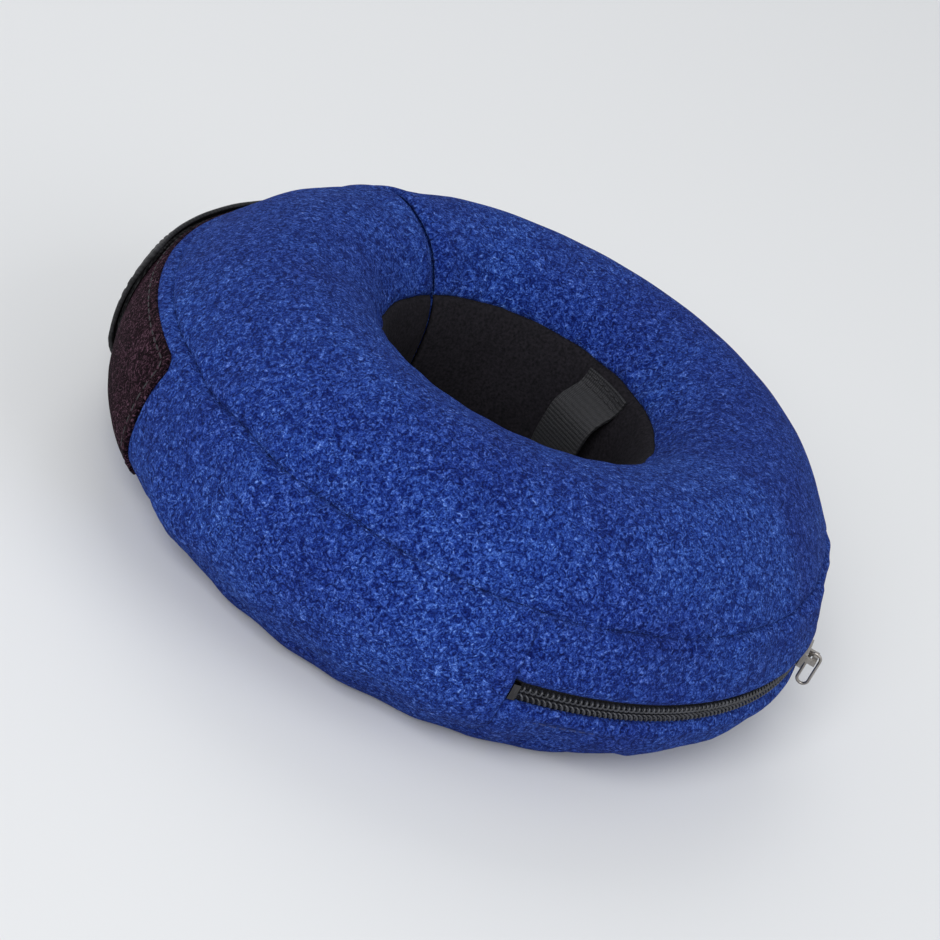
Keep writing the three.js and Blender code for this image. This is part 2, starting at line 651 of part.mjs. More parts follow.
const FLANGE_OUT = BLADDER_FACE - BLADDER_WALL - FLANGE_DEPTH;
const COLLAR_END = BLADDER_FACE + COLLAR_PROUD;
const STEM_OUT = OUTER_R + STEM_PROUD;
const FLANGE_IN = FLANGE_OUT - VALVE_FLANGE;
const LIP_OUT = FLANGE_IN - STEM_TRAVEL - STOP_GAP;
const STEM_IN = LIP_OUT - LIP_THICK;

// A round cutter through the cover and the bladder's wall at the valve.
const throughCover = (radius) =>
  rod(radius, OUTER_R - CUT_IN, OUTER_R + CUT_OUT).rotateZ(rad(VALVE_ANGLE)).translate(0, 0, ZIP_Z);

function addValve() {
  const span = arc(EYELET_R + 2);
  const disc = onBand(
    ZIP_Z - EYELET_R - 1, ZIP_Z + EYELET_R + 1, CLEARANCE, CLEARANCE + EYELET_THICK,
    VALVE_ANGLE - span, VALVE_ANGLE + span, 6,
  );
  const eyelet = cut(common(disc, throughCover(EYELET_R)), throughCover(EYELET_BORE_R));
  add('valve_eyelet', eyelet, EYELET_PLASTIC);
  add('valve_body', turned([
    [COLLAR_BORE_R, FLANGE_IN], [VALVE_FLANGE_R, FLANGE_IN], [VALVE_FLANGE_R, FLANGE_OUT],
    [COLLAR_R, FLANGE_OUT], [COLLAR_R, COLLAR_END], [COLLAR_BORE_R, COLLAR_END],
  ]), VALVE_PLASTIC, VALVE_ANGLE, ZIP_Z);
  add('valve_stem', turned([
    [STEM_BORE_R, STEM_IN], [LIP_R, STEM_IN], [LIP_R, LIP_OUT],
    [STEM_R, LIP_OUT], [STEM_R, STEM_OUT], [STEM_BORE_R, STEM_OUT],
  ]), VALVE_PLASTIC, VALVE_ANGLE, ZIP_Z);
  const ringIn = STEM_R + CLEARANCE;
  const ringLow = COLLAR_END + RING_PLACE;
  const ringHigh = ringLow + RING_THICK;
  add('valve_tether_ring', turned([
    [ringIn, ringLow], [ringIn + RING_WIDTH, ringLow], [ringIn + RING_WIDTH, ringHigh],
    [ringIn, ringHigh],
  ]), VALVE_PLASTIC, VALVE_ANGLE, ZIP_Z);
  const plugLow = STEM_OUT + CLEARANCE;
  const cap = rod(PLUG_R, plugLow, plugLow + PLUG_THICK);
  const peg = rod(PEG_R, plugLow - PEG_LENGTH, plugLow + JOIN);
  add('valve_plug', join(cap, peg), VALVE_PLASTIC, VALVE_ANGLE, ZIP_Z);
  const flap = rod(FLAP_R, STEM_IN - CLEARANCE - FLAP_THICK, STEM_IN - CLEARANCE);
  add('valve_flap', closed(flap), VALVE_PLASTIC, VALVE_ANGLE, ZIP_Z);
}

addPanels('front', FRONT, PANEL_STEPS);
addPanels('left', LEFT, ARM_STEPS);
addPanels('right', RIGHT, ARM_STEPS);
addFrontBand();
addArmBands();
addEndPanel('end_panel_left', LEFT[0], 1);
addEndPanel('end_panel_right', RIGHT[1], -1);
addBladder();
addZipRows();
addSlider();
addClosure();
addLoop('collar_loop_front', -90);
addLoop('collar_loop_left', 180);
addLoop('collar_loop_right', 0);
addValve();

export default collar;
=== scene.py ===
"""Looks of an inflatable ring recovery collar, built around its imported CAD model."""
import json
import math

import bmesh
import bpy
import numpy as np
from mathutils import Matrix, Vector


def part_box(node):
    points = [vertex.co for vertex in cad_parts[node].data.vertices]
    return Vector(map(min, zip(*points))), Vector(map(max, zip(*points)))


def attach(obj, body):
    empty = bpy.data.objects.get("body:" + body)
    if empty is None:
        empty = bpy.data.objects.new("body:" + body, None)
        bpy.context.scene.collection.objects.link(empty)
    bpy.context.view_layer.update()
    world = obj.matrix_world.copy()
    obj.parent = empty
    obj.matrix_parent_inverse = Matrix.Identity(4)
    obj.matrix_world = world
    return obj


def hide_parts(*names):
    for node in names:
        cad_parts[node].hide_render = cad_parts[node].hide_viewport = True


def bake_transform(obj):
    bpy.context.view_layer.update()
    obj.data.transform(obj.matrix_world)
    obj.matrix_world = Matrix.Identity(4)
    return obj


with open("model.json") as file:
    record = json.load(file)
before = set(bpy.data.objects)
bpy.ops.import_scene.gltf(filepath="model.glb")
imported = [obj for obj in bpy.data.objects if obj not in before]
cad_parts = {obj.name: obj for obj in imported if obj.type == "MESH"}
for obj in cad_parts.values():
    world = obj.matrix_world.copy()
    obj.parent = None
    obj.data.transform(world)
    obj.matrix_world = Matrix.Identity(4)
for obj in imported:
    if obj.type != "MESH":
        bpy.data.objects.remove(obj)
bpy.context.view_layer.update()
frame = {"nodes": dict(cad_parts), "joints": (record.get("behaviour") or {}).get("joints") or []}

MM = 0.001
rng = np.random.default_rng(7)

# ---- Sizes, in millimetres ----


def box_mm(node):
    low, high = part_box(node)
    return np.array(low) / MM, np.array(high) / MM


HEIGHT = box_mm("top_panel_front")[1][2]
OUTER_R = 88.0
NECK_R = 31.0
BAND_LOW = 8.0
BAND_HIGH = 44.0
ZIP_Z = (BAND_LOW + BAND_HIGH) / 2
FLAT_WIDTH = 16.0
MIDDLE_R = (OUTER_R + NECK_R) / 2
GAP_HALF = 1.0  # degrees

CLOTH = 1.3
SEAM_ROLL = 3.0  # cloth turns in over this width at a seam
SEAM_DEPTH = 0.6  # and by this share of that width
JOINT_DEPTH = 0.38  # the same at the upright joints and at the closure gap
SEAM_GAP = -0.12  # the cloths overlap a little at the bottom of the seam
WELT = 0.5  # the band's edges stand up this much beside the seam
WANDER = 0.6  # a seam strays this far from its line
PUCKER, PUCKER_REACH = 0.7, 3.5  # close gathers beside a seam
RIPPLE, RIPPLE_REACH = 0.6, 9.0  # and wider ones


def arc(length, radius=OUTER_R):
    """Degrees that a length takes up round the ring."""
    return np.degrees(length / radius)


def length_at(angle):
    return math.radians(angle) * OUTER_R


# ---- Cross-section: four panels, clockwise from the top of the neck opening ----


def spline(points, per_span=16):
    """A Catmull-Rom curve through the points."""
    p = np.array(points, float)
    p = np.vstack([p[:1], p, p[-1:]])
    t = np.linspace(0, 1, per_span, endpoint=False)[:, None]
    spans = []
    for a, b, c, d in zip(p[:-3], p[1:-2], p[2:-1], p[3:]):
        spans.append(0.5 * (2 * b + (c - a) * t + (2 * a - 5 * b + 4 * c - d) * t**2
                            + (3 * b - a - 3 * c + d) * t**3))
    return np.vstack([*spans, p[-1:]])


NECK_TOP = (NECK_R + 3, HEIGHT - 13)
UPPER_SEAM = (OUTER_R - 5, BAND_HIGH)
LOWER_SEAM = (OUTER_R - 9, BAND_LOW)
NECK_BOTTOM = (NECK_R + 3, BAND_LOW + 4)
PANEL_POINTS = {
    "top": [NECK_TOP, (NECK_R + 12, HEIGHT - 3.5), (MIDDLE_R - 1.5, HEIGHT),
            (OUTER_R - 16, HEIGHT - 6.5), UPPER_SEAM],
    "band": [UPPER_SEAM, (OUTER_R - 1.3, BAND_HIGH - 8), (OUTER_R, ZIP_Z),
             (OUTER_R - 1.7, BAND_LOW + 7.5), LOWER_SEAM],
    "bottom": [LOWER_SEAM, (OUTER_R - 15, BAND_LOW - 5.2), (MIDDLE_R + FLAT_WIDTH / 2, 0),
               (MIDDLE_R, 0), (MIDDLE_R - FLAT_WIDTH / 2, 0), (NECK_R + 11.5, BAND_LOW - 4.8),
               (NECK_R + 6.5, BAND_LOW - 1), NECK_BOTTOM],
    "neck": [NECK_BOTTOM, (NECK_R, BAND_LOW + 14), (NECK_R, HEIGHT - 23), NECK_TOP],
}
PANEL_NAMES = list(PANEL_POINTS)


def make_section():
    """Points, outward normals and distances round the section, and where each panel starts."""
    curves = [spline(PANEL_POINTS[name]) for name in PANEL_NAMES]
    loop = np.vstack([curve[:-1] for curve in curves])
    loop[:, 1] = np.maximum(loop[:, 1], 0)
    tangent = np.roll(loop, -1, 0) - np.roll(loop, 1, 0)
    normal = np.stack([-tangent[:, 1], tangent[:, 0]], 1)
    for _ in range(3):
        normal = normal + np.roll(normal, 1, 0) + np.roll(normal, -1, 0)
    normal /= np.linalg.norm(normal, axis=1)[:, None]
    loop, normal = np.vstack([loop, loop[:1]]), np.vstack([normal, normal[:1]])
    s = np.concatenate([[0], np.cumsum(np.linalg.norm(np.diff(loop, axis=0), axis=1))])
    starts = np.cumsum([0] + [len(curve) - 1 for curve in curves])
    return loop, normal, s, s[starts]


SECTION, NORMALS, SECTION_S, SEAMS = make_section()
AROUND = SECTION_S[-1]
PANEL_SPAN = {name: (SEAMS[i], SEAMS[i + 1]) for i, name in enumerate(PANEL_NAMES)}


def on_section(s):
    """r, z and outward normal at distances round the section."""
    s = np.mod(s, AROUND)
    return [np.interp(s, SECTION_S, column) for column in (*SECTION.T, *NORMALS.T)]


def band_at(z):
    """Distance round the section at heights on the band."""
    inside = (SECTION_S >= PANEL_SPAN["band"][0]) & (SECTION_S <= PANEL_SPAN["band"][1])
    return np.interp(-np.asarray(z, float), -SECTION[inside, 1], SECTION_S[inside])


def polar(r, angle, z):
    """Points in metres from radii and heights in millimetres and angles in degrees."""
    a = np.radians(angle)
    r, a, z = np.broadcast_arrays(r, a, z)
    return np.stack([r * np.cos(a), r * np.sin(a), z], -1) * MM


def cover_point(s, angle, offset=0.0):
    """Points at a distance round the section and an angle, moved out by an offset."""
    r, z, nr, nz = on_section(s)
    return polar(r + nr * offset, angle, z + nz * offset)


def band_point(angle, z, offset=0.0):
    return cover_point(band_at(z), angle, offset)


def waves(angle, count, low, high, seed):
    """The mean of a few sines round the ring, from -1 to 1, each with low to high waves."""
    draw = np.random.default_rng(seed)
    turns = draw.integers(low, high, count)
    phases = draw.uniform(0, 2 * math.pi, count)
    a = np.radians(np.asarray(angle, float))[..., None]
    return np.sin(a * turns + phases).mean(-1)


# ---- Meshes ----


def add_object(name, data):
    obj = bpy.data.objects.new(name, data)
    bpy.context.scene.collection.objects.link(obj)
    return obj


def clean(mesh, weld=0.0):
    """Joins points that lie within the weld distance and turns all faces outward."""
    bm = bmesh.new()
    bm.from_mesh(mesh)
    if weld:
        bmesh.ops.remove_doubles(bm, verts=bm.verts, dist=weld)
    bmesh.ops.recalc_face_normals(bm, faces=bm.faces)
    bm.to_mesh(mesh)
    bm.free()


def new_object(name, vertices, faces, material):
    mesh = bpy.data.meshes.new(name)
    points = np.asarray(vertices).reshape(-1, 3).tolist()
    mesh.from_pydata(points, [], [list(map(int, face)) for face in faces])
    mesh.validate()
    mesh.materials.append(material)
    clean(mesh)
    mesh.polygons.foreach_set("use_smooth", [True] * len(mesh.polygons))
    return add_object(name, mesh)


def grid_faces(index):
    """Quads of a grid of vertex numbers."""
    corners = [index[:-1, :-1], index[1:, :-1], index[1:, 1:], index[:-1, 1:]]
    return np.stack(corners, -1).reshape(-1, 4)


def shell(name, outer, inner, material):
    """A closed sheet between two grids of points that share their rows and columns."""
    rows, columns = outer.shape[:2]
    size = rows * columns
    out = np.arange(size).reshape(rows, columns)
    back = out + size
    faces = [grid_faces(out), grid_faces(back)[:, ::-1]]
    for edge in (np.s_[0, :], np.s_[-1, :], np.s_[:, 0], np.s_[:, -1]):
        faces.append(grid_faces(np.stack([out[edge], back[edge]])))
    vertices = np.concatenate([outer.reshape(-1, 3), inner.reshape(-1, 3)])
    return new_object(name, vertices, np.concatenate(faces), material)


def ring_faces(index):
    """Quads between rings of vertices, each ring closed on itself."""
    return grid_faces(np.concatenate([index, index[:, :1]], 1))


def looped(name, vertices, material):
    """A solid from rings of points whose last ring joins the first."""
    index = np.arange(vertices[..., 0].size).reshape(vertices.shape[:2])
    return new_object(name, vertices, ring_faces(np.concatenate([index, index[:1]])), material)


def full_turn(sides):
    """Evenly spaced angles in radians."""
    return 2 * np.pi * np.arange(sides) / sides


def tube(name, path, radius, material, sides=8, closed=False, flat=1.0):
    """A rod along a path in metres. flat is its thickness across its second side axis."""
    path = np.asarray(path, float)
    if closed:
        along = np.roll(path, -1, 0) - np.roll(path, 1, 0)
    else:
        along = np.gradient(path, axis=0)
    along /= np.linalg.norm(along, axis=1)[:, None]
    side = np.zeros_like(path)
    guess = np.cross(along[0], [0, 0, 1.0])
    if np.linalg.norm(guess) < 0.1:  # the path starts upright
        guess = np.cross(along[0], [0, 1.0, 0])
    for i, direction in enumerate(along):
        guess = guess - direction * (guess @ direction)
        guess = guess / np.linalg.norm(guess)
        side[i] = guess
    up = np.cross(along, side)
    turn = full_turn(sides)[None, :, None]
    ring = np.cos(turn) * side[:, None] + flat * np.sin(turn) * up[:, None]
    vertices = path[:, None] + radius * ring
    if closed:
        return looped(name, vertices, material)
    index = np.arange(len(path) * sides).reshape(len(path), sides)
    return new_object(name, vertices, [*ring_faces(index), index[0][::-1], index[-1]], material)


ON_AXIS = 1e-6  # millimetres
WELD = 1e-7  # metres


def rounded(profile, radius, pieces=4):
    """A closed outline with its corners rounded, apart from those on the axis."""
    p = np.array(profile, float)
    out = []
    for before, corner, after in zip(np.roll(p, 1, 0), p, np.roll(p, -1, 0)):
        if corner[0] < ON_AXIS:
            out.append(corner)
            continue
        to_a, to_b = before - corner, after - corner
        cut = min(radius, 0.45 * np.linalg.norm(to_a), 0.45 * np.linalg.norm(to_b))
        a = corner + to_a / np.linalg.norm(to_a) * cut
        b = corner + to_b / np.linalg.norm(to_b) * cut
        for t in np.linspace(0, 1, pieces + 1):
            out.append((1 - t) ** 2 * a + 2 * t * (1 - t) * corner + t**2 * b)
    return np.array(out)


def turned(name, profile, angle, height, material, round_radius=0.25, segments=64):
    """A piece turned about the line out from the middle at an angle and height. Its profile has
    [radius, distance out] points."""
    p = rounded(profile, round_radius)
    turn = full_turn(segments)
    y = p[:, :1] * np.cos(turn)
    z = p[:, :1] * np.sin(turn)
    x = np.broadcast_to(p[:, 1:], y.shape)
    obj = looped(name, at_station(np.stack([x, y, z], -1), angle, height), material)
    if (p[:, 0] < ON_AXIS).any():
        clean(obj.data, WELD)
    return obj


def at_station(local, angle, height=0.0):
    """Local millimetre points (out, along, up) at an angle round the ring, in metres."""
    a = math.radians(angle)
    out, along, up = local[..., 0], local[..., 1], local[..., 2]
    x = out * math.cos(a) - along * math.sin(a)
    y = out * math.sin(a) + along * math.cos(a)
    return np.stack([x, y, up + height], -1) * MM


def cut_with(obj, cutter):
    modifier = obj.modifiers.new("cut", "BOOLEAN")
    modifier.object = cutter
    modifier.operation = "DIFFERENCE"
    modifier.solver = "EXACT"
    bpy.context.view_layer.update()
    evaluated = obj.evaluated_get(bpy.context.evaluated_depsgraph_get())
    mesh = bpy.data.meshes.new_from_object(evaluated)
    obj.modifiers.clear()
    obj.data = mesh
    bpy.data.objects.remove(cutter)


# ---- Materials ----


class Tree:
    """A node tree with short ways to fill it."""

    def __init__(self, tree):
        self.tree = tree

    def feed(self, socket, value):
        if isinstance(value, bpy.types.NodeSocket):
            self.tree.links.new(value, socket)
        elif socket.type == "RGBA":
            socket.default_value = (*value, 1)
        else:
            socket.default_value = value

    def add(self, kind, **inputs):
        """A node whose named inputs are fed with values or other nodes' outputs."""
        node = self.tree.nodes.new("ShaderNode" + kind)
        for name, value in inputs.items():
            self.feed(node.inputs[name], value)
        return node

    def math(self, kind, a, b):
        node = self.add("Math")
        node.operation = kind
        for socket, value in zip(node.inputs, (a, b)):
            self.feed(socket, value)
        return node.outputs[0]


class Nodes(Tree):
    """A material and what these materials share."""

    def __init__(self, name, **inputs):
        self.material = bpy.data.materials.new(name)
        self.material.use_nodes = True
        super().__init__(self.material.node_tree)
        self.shader = self.tree.nodes["Principled BSDF"]
        for key, value in inputs.items():
            self.shader.inputs[key.replace("_", " ")].default_value = value
        self.object = self.add("TexCoord").outputs["Object"]

    def noise(self, scale, detail=2.0, roughness=0.5, distortion=0.0, vector=None):
        return self.add("TexNoise", Scale=scale, Detail=detail, Roughness=roughness,
                        Distortion=distortion, Vector=vector or self.object).outputs["Fac"]

    def cells(self, scale, randomness, vector=None):
        """Distance from the middles of cells."""
        return self.add("TexVoronoi", Scale=scale, Randomness=randomness,
                        Vector=vector or self.object).outputs["Distance"]

    def stretch(self, scale, turn=0.0):
        """Object coordinates scaled by (x, y, z) and turned about Z, in degrees."""
        return self.add("Mapping", Scale=scale, Rotation=(0, 0, math.radians(turn)),
                        Vector=self.object).outputs["Vector"]

    def unrolled(self, along, up, cut):
        """Distance round the ring and height, scaled. The cut is the angle at which they start."""
        split = self.add("SeparateXYZ", Vector=self.stretch((1, 1, 1), 180 - cut)).outputs
        angle = self.math("ARCTAN2", split["Y"], split["X"])
        return self.add("CombineXYZ", X=self.math("MULTIPLY", angle, along * OUTER_R * MM),
                        Y=self.math("MULTIPLY", split["Z"], up)).outputs[0]

    def ramp(self, value, stops):
        node = self.add("ValToRGB", Fac=value)
        elements = node.color_ramp.elements
        while len(elements) < len(stops):
            elements.new(0.5)
        for element, (place, color) in zip(elements, stops):
            element.position = place
            element.color = (*color, 1)
        return node.outputs["Color"]

    def mix(self, a, b):
        """One colour multiplied by another."""
        node = self.add("Mix")
        node.data_type = "RGBA"
        node.blend_type = "MULTIPLY"
        for number, value in ((0, 1.0), (6, a), (7, b)):
            self.feed(node.inputs[number], value)
        return node.outputs[2]

    def bump(self, height, strength, distance):
        node = self.add("Bump", Strength=strength, Distance=distance, Height=height)
        self.feed(self.shader.inputs["Normal"], node.outputs["Normal"])

    def color(self, value):
        self.feed(self.shader.inputs["Base Color"], value)


def two_tone(name, roughness, specular, pattern, low, high, bump=None):
    """Two colours over a pattern. low and high are a place on it and the colour there, and bump is
    how much of the pattern raises the surface, its strength and its distance."""
    n = Nodes(name, Roughness=roughness, Specular_IOR_Level=specular)
    value = pattern(n)
    n.color(n.ramp(value, [low, high]))
    if bump:
        share, strength, distance = bump
        n.bump(n.math("MULTIPLY", value, share), strength, distance)
    return n.material


def plush_material():
    """Short pile: fibre strokes that are partly the fibres' own tone and partly painted light and
    shade, painted highlights on the fibre tips, and patches of painted sheen and shade where the
    pile lies another way.
    """
    n = Nodes("plush", Roughness=0.95, Specular_IOR_Level=0.05, Sheen_Weight=0.07,
              Sheen_Roughness=0.5, Sheen_Tint=(0.3, 0.45, 1.0, 1))
    strokes = n.noise(820, detail=4, roughness=0.68, distortion=1.3)
    highlight_tips = n.noise(2300, detail=2, roughness=0.6, distortion=0.5)
    sheen_patches = n.noise(26, detail=3, roughness=0.6, distortion=0.6)
    # Fibre strokes from near black to pale blue: partly the fibres' own tone, partly painted light
    # and shade among the fibres.
    fibre_tone_and_light = n.ramp(strokes, [(0.34, (0.0018, 0.006, 0.080)), (0.45, (0.006, 0.019, 0.160)),
                             (0.53, (0.018, 0.050, 0.295)), (0.61, (0.044, 0.104, 0.450)),
                             (0.72, (0.130, 0.220, 0.680))])
    # Painted highlights: the fibre tips are lit up to about twice the fibre colour.
    painted_tip_highlight = n.ramp(highlight_tips, [(0.34, (0.34, 0.38, 0.52)), (0.50, (0.92, 0.93, 1.0)),
                        (0.68, (2.2, 1.95, 1.45))])
    # Painted pile sheen and shade: broad patches, lighter in some places and darker in others,
    # where the pile lies another way.
    painted_pile_sheen = n.ramp(sheen_patches, [(0.34, (0.78, 0.74, 0.84)), (0.64, (1.22, 1.30, 1.16))])
    n.color(n.mix(n.mix(fibre_tone_and_light, painted_tip_highlight), painted_pile_sheen))
    n.bump(n.math("ADD", strokes, n.math("MULTIPLY", highlight_tips, 0.5)), 1.0, 0.0009)
    return n.material


WEBBING_CUT = 225.0  # no webbing lies at this angle


def webbing_material():
    """Woven nylon: small raised picks."""
    n = Nodes("webbing", Roughness=0.62, Specular_IOR_Level=0.3)
    ribs = n.cells(1000, randomness=0.2, vector=n.unrolled(0.62, 1.0, WEBBING_CUT))
    fuzz = n.noise(3000, detail=2)
    n.color(n.ramp(ribs, [(0.1, (0.026, 0.026, 0.029)), (0.7, (0.006, 0.006, 0.007))]))
    height = n.math("ADD", n.math("MULTIPLY", ribs, -1.0), n.math("MULTIPLY", fuzz, 0.3))
    n.bump(height, 0.8, 0.0004)
    return n.material


def loop_pile_material():
    """The loop side of hook-and-loop: a mat of fine brown-black loops."""
    n = Nodes("loop_pile", Roughness=0.9, Specular_IOR_Level=0.05)
    mat = n.noise(620, detail=4, roughness=0.75, distortion=2.8)
    worn = n.noise(60, detail=2)
    loops = n.ramp(mat, [(0.38, (0.003, 0.001, 0.002)), (0.47, (0.011, 0.004, 0.008)),
                         (0.54, (0.042, 0.017, 0.029)), (0.64, (0.230, 0.115, 0.170))])
    n.color(n.mix(loops, n.ramp(worn, [(0.3, (0.7, 0.7, 0.7)), (0.7, (1.25, 1.25, 1.25))])))
    n.bump(mat, 1.0, 0.0022)
    return n.material


def metal_material(name, low, high):
    """Plated metal with fine scuffs."""
    n = Nodes(name, Roughness=0.34, Metallic=1.0)
    scuffs = n.noise(900, detail=4, roughness=0.7, vector=n.stretch((1.0, 1.0, 0.2)))
    n.color(n.ramp(scuffs, [(0.3, low), (0.7, high)]))
    rough = n.ramp(scuffs, [(0.3, (0.28, 0.28, 0.28)), (0.7, (0.46, 0.46, 0.46))])
    n.feed(n.shader.inputs["Roughness"], rough)
    n.bump(scuffs, 0.15, 0.0002)
    return n.material


def plastic_material(name, low, high, roughness):
    """Moulded plastic: faint clouding and a fine moulded grain."""
    n = Nodes(name, Roughness=roughness, Specular_IOR_Level=0.5)
    cloud = n.noise(90, detail=2)
    grain = n.noise(2200, detail=2)
    n.color(n.ramp(cloud, [(0.3, low), (0.7, high)]))
    n.bump(grain, 0.12, 0.0002)
    return n.material


def vinyl_material():
    """Bladder film: soft, milky and faintly creased."""
    n = Nodes("bladder_vinyl", Roughness=0.3, Specular_IOR_Level=0.5, Coat_Weight=0.2,
              Coat_Roughness=0.2)
    crease = n.noise(60, detail=3, roughness=0.5, distortion=1.5)
    n.color(n.ramp(crease, [(0.3, (0.50, 0.56, 0.60)), (0.7, (0.62, 0.68, 0.72))]))
    n.bump(crease, 0.3, 0.002)
    return n.material


def thread_material(name, low, high):
    return two_tone(name, 0.6, 0.3, lambda n: n.noise(2500, detail=2), (0.3, low), (0.7, high))


PLUSH = plush_material()
LINING = two_tone("lining", 0.9, 0.12, lambda n: n.noise(1400, detail=3, roughness=0.6),
                  (0.3, (0.003, 0.003, 0.004)), (0.7, (0.016, 0.014, 0.018)), (1.0, 0.6, 0.0004))
WEBBING = webbing_material()
LOOP_PILE = loop_pile_material()
HOOKS = two_tone("hooks", 0.5, 0.4, lambda n: n.cells(750, randomness=0.3),
                 (0.1, (0.045, 0.042, 0.048)), (0.6, (0.008, 0.008, 0.010)), (-1.0, 1.0, 0.0009))
TAPE = two_tone("zip_tape", 0.8, 0.2, lambda n: n.cells(1700, randomness=0.15),
                (0.1, (0.022, 0.022, 0.028)), (0.6, (0.006, 0.006, 0.008)), (-1.0, 0.6, 0.0003))
COIL = two_tone("zip_coil", 0.38, 0.5, lambda n: n.noise(300, detail=3),
                (0.35, (0.016, 0.017, 0.022)), (0.7, (0.040, 0.042, 0.052)))
METAL = metal_material("nickel", (0.21, 0.195, 0.18), (0.38, 0.355, 0.33))
DARK_METAL = metal_material("blackened_metal", (0.030, 0.030, 0.034), (0.075, 0.073, 0.076))
VALVE = plastic_material("valve_plastic", (0.66, 0.72, 0.76), (0.76, 0.81, 0.84), 0.28)
EYELET = plastic_material("eyelet_plastic", (0.012, 0.012, 0.016), (0.020, 0.020, 0.026), 0.38)
VINYL = vinyl_material()
BLUE_THREAD = thread_material("blue_thread", (0.010, 0.018, 0.085), (0.022, 0.040, 0.170))
BLACK_THREAD = thread_material("black_thread", (0.012, 0.012, 0.014), (0.035, 0.034, 0.038))

# ---- Creases of the inflated cover, from a cloth simulation ----

SIM_ROWS = 14  # cells across each panel
SIM_STEP = 2.5  # degrees between columns
SIM_FRAMES = 20
SIM_BLURS = 2
SIM_JITTER = 0.08  # millimetres, so that the cloth has something to buckle from
CREASE_CAP = 1.8  # a crease rises or falls no further than this
RING_START, RING_END = 90 + GAP_HALF, 450 - GAP_HALF
SIM_SEAMS = np.arange(len(PANEL_NAMES) + 1) * SIM_ROWS


def simulate_creases():
    """Inflates cloth that is cut a little too large and held at its seams. Returns how far each
    point of a grid (round the section, round the ring) stands off the mean, in millimetres."""
    rows = np.interp(np.arange(SIM_SEAMS[-1]), SIM_SEAMS, SEAMS)
    angles = np.arange(RING_START, RING_END + SIM_STEP / 2, SIM_STEP)
    points = cover_point(rows[:, None], angles[None])
    normal = cover_point(rows[:, None], angles[None], 1.0) / MM - points / MM
    start = points + normal * (rng.normal(0, SIM_JITTER, points.shape[:2]) * MM)[..., None]
    index = np.arange(start.shape[0] * start.shape[1]).reshape(start.shape[:2])
    obj = new_object("crease_cloth", start, grid_faces(np.concatenate([index, index[:1]])), PLUSH)
    held = obj.vertex_groups.new(name="held")
    pinned = np.zeros(index.shape, bool)
    pinned[::SIM_ROWS] = True
    pinned[:, [0, -1]] = True
    held.add(index[pinned].tolist(), 1.0, "REPLACE")
    cloth = obj.modifiers.new("cloth", "CLOTH")
    settings = cloth.settings
    settings.vertex_group_mass = "held"
    settings.quality = 6
    settings.mass = 0.25
    settings.tension_stiffness = settings.compression_stiffness = 12
    settings.shear_stiffness = 4
    settings.bending_stiffness = 4
    settings.use_pressure = True
    settings.uniform_pressure_force = 3.5
    settings.shrink_min = -0.025
    settings.effector_weights.gravity = 0
    cloth.collision_settings.use_collision = False
    cloth.point_cache.frame_start = 1
    cloth.point_cache.frame_end = SIM_FRAMES
    for number in range(1, SIM_FRAMES + 1):
        bpy.context.scene.frame_set(number)
    evaluated = obj.evaluated_get(bpy.context.evaluated_depsgraph_get())
    moved = np.zeros(start.size)
    evaluated.data.vertices.foreach_get("co", moved)
    bpy.context.scene.frame_set(1)
    bpy.data.objects.remove(obj)
    rise = ((moved.reshape(start.shape) - points) * normal).sum(-1) / MM
    rise -= rise.mean(axis=1, keepdims=True)
    for _ in range(SIM_BLURS):
        rise = (np.roll(rise, 1, 0) + np.roll(rise, -1, 0) + 2 * rise) / 4
        padded = np.concatenate([rise[:, :1], rise, rise[:, -1:]], 1)
        rise = (padded[:, :-2] + padded[:, 2:] + 2 * rise) / 4
    return np.clip(rise, -CREASE_CAP, CREASE_CAP)


CREASES = simulate_creases()


def fade(value, low, high):
    """0 below low, 1 above high and smooth between."""
    t = np.clip((value - low) / (high - low), 0, 1)
    return t * t * (3 - 2 * t)


def creases(s, angle):
    """Rise of the cloth at a distance round the section and an angle."""
    if CREASES is None:
        return np.zeros(np.broadcast(s, angle).shape)
    rise = np.vstack([CREASES, CREASES[:1]])
    row = np.interp(np.mod(s, AROUND), SEAMS, SIM_SEAMS)
    column = np.mod(angle - RING_START, 360) / SIM_STEP
    row, column = np.broadcast_arrays(row, column)
    r0 = np.minimum(row.astype(int), rise.shape[0] - 2)
    c0 = np.clip(column.astype(int), 0, rise.shape[1] - 2)
    fr, fc = fade(row - r0, 0, 1), fade(column - c0, 0, 1)
    low = rise[r0, c0] * (1 - fc) + rise[r0, c0 + 1] * fc
    high = rise[r0 + 1, c0] * (1 - fc) + rise[r0 + 1, c0 + 1] * fc
    return low * (1 - fr) + high * fr


def away(angle, middle):
    """Degrees between angles, the short way round."""
    return np.abs(np.mod(angle - middle + 180, 360) - 180)


# ---- Zip, closure and valve sizes ----

ZIP_MIDDLE = -88.5
ZIP_LENGTH = 107.5
ZIP_START, ZIP_END = ZIP_MIDDLE - arc(ZIP_LENGTH / 2), ZIP_MIDDLE + arc(ZIP_LENGTH / 2)
SLOT_HALF = 2.7
CHANNEL = 6.2  # from the zip's middle line to the stitches that hold the tapes
CHANNEL_DEPTH, CHANNEL_WIDTH = 0.35, 0.7
TAPE_DEPTH = 2.3  # from the band's face in to the tapes
COIL_OUT, COIL_IN = 0.5, 2.0
COIL_EDGE = 2.0  # from the zip's middle line to the rows' far edges
COIL_PITCH = 1.35
COIL_WIRE = 0.27

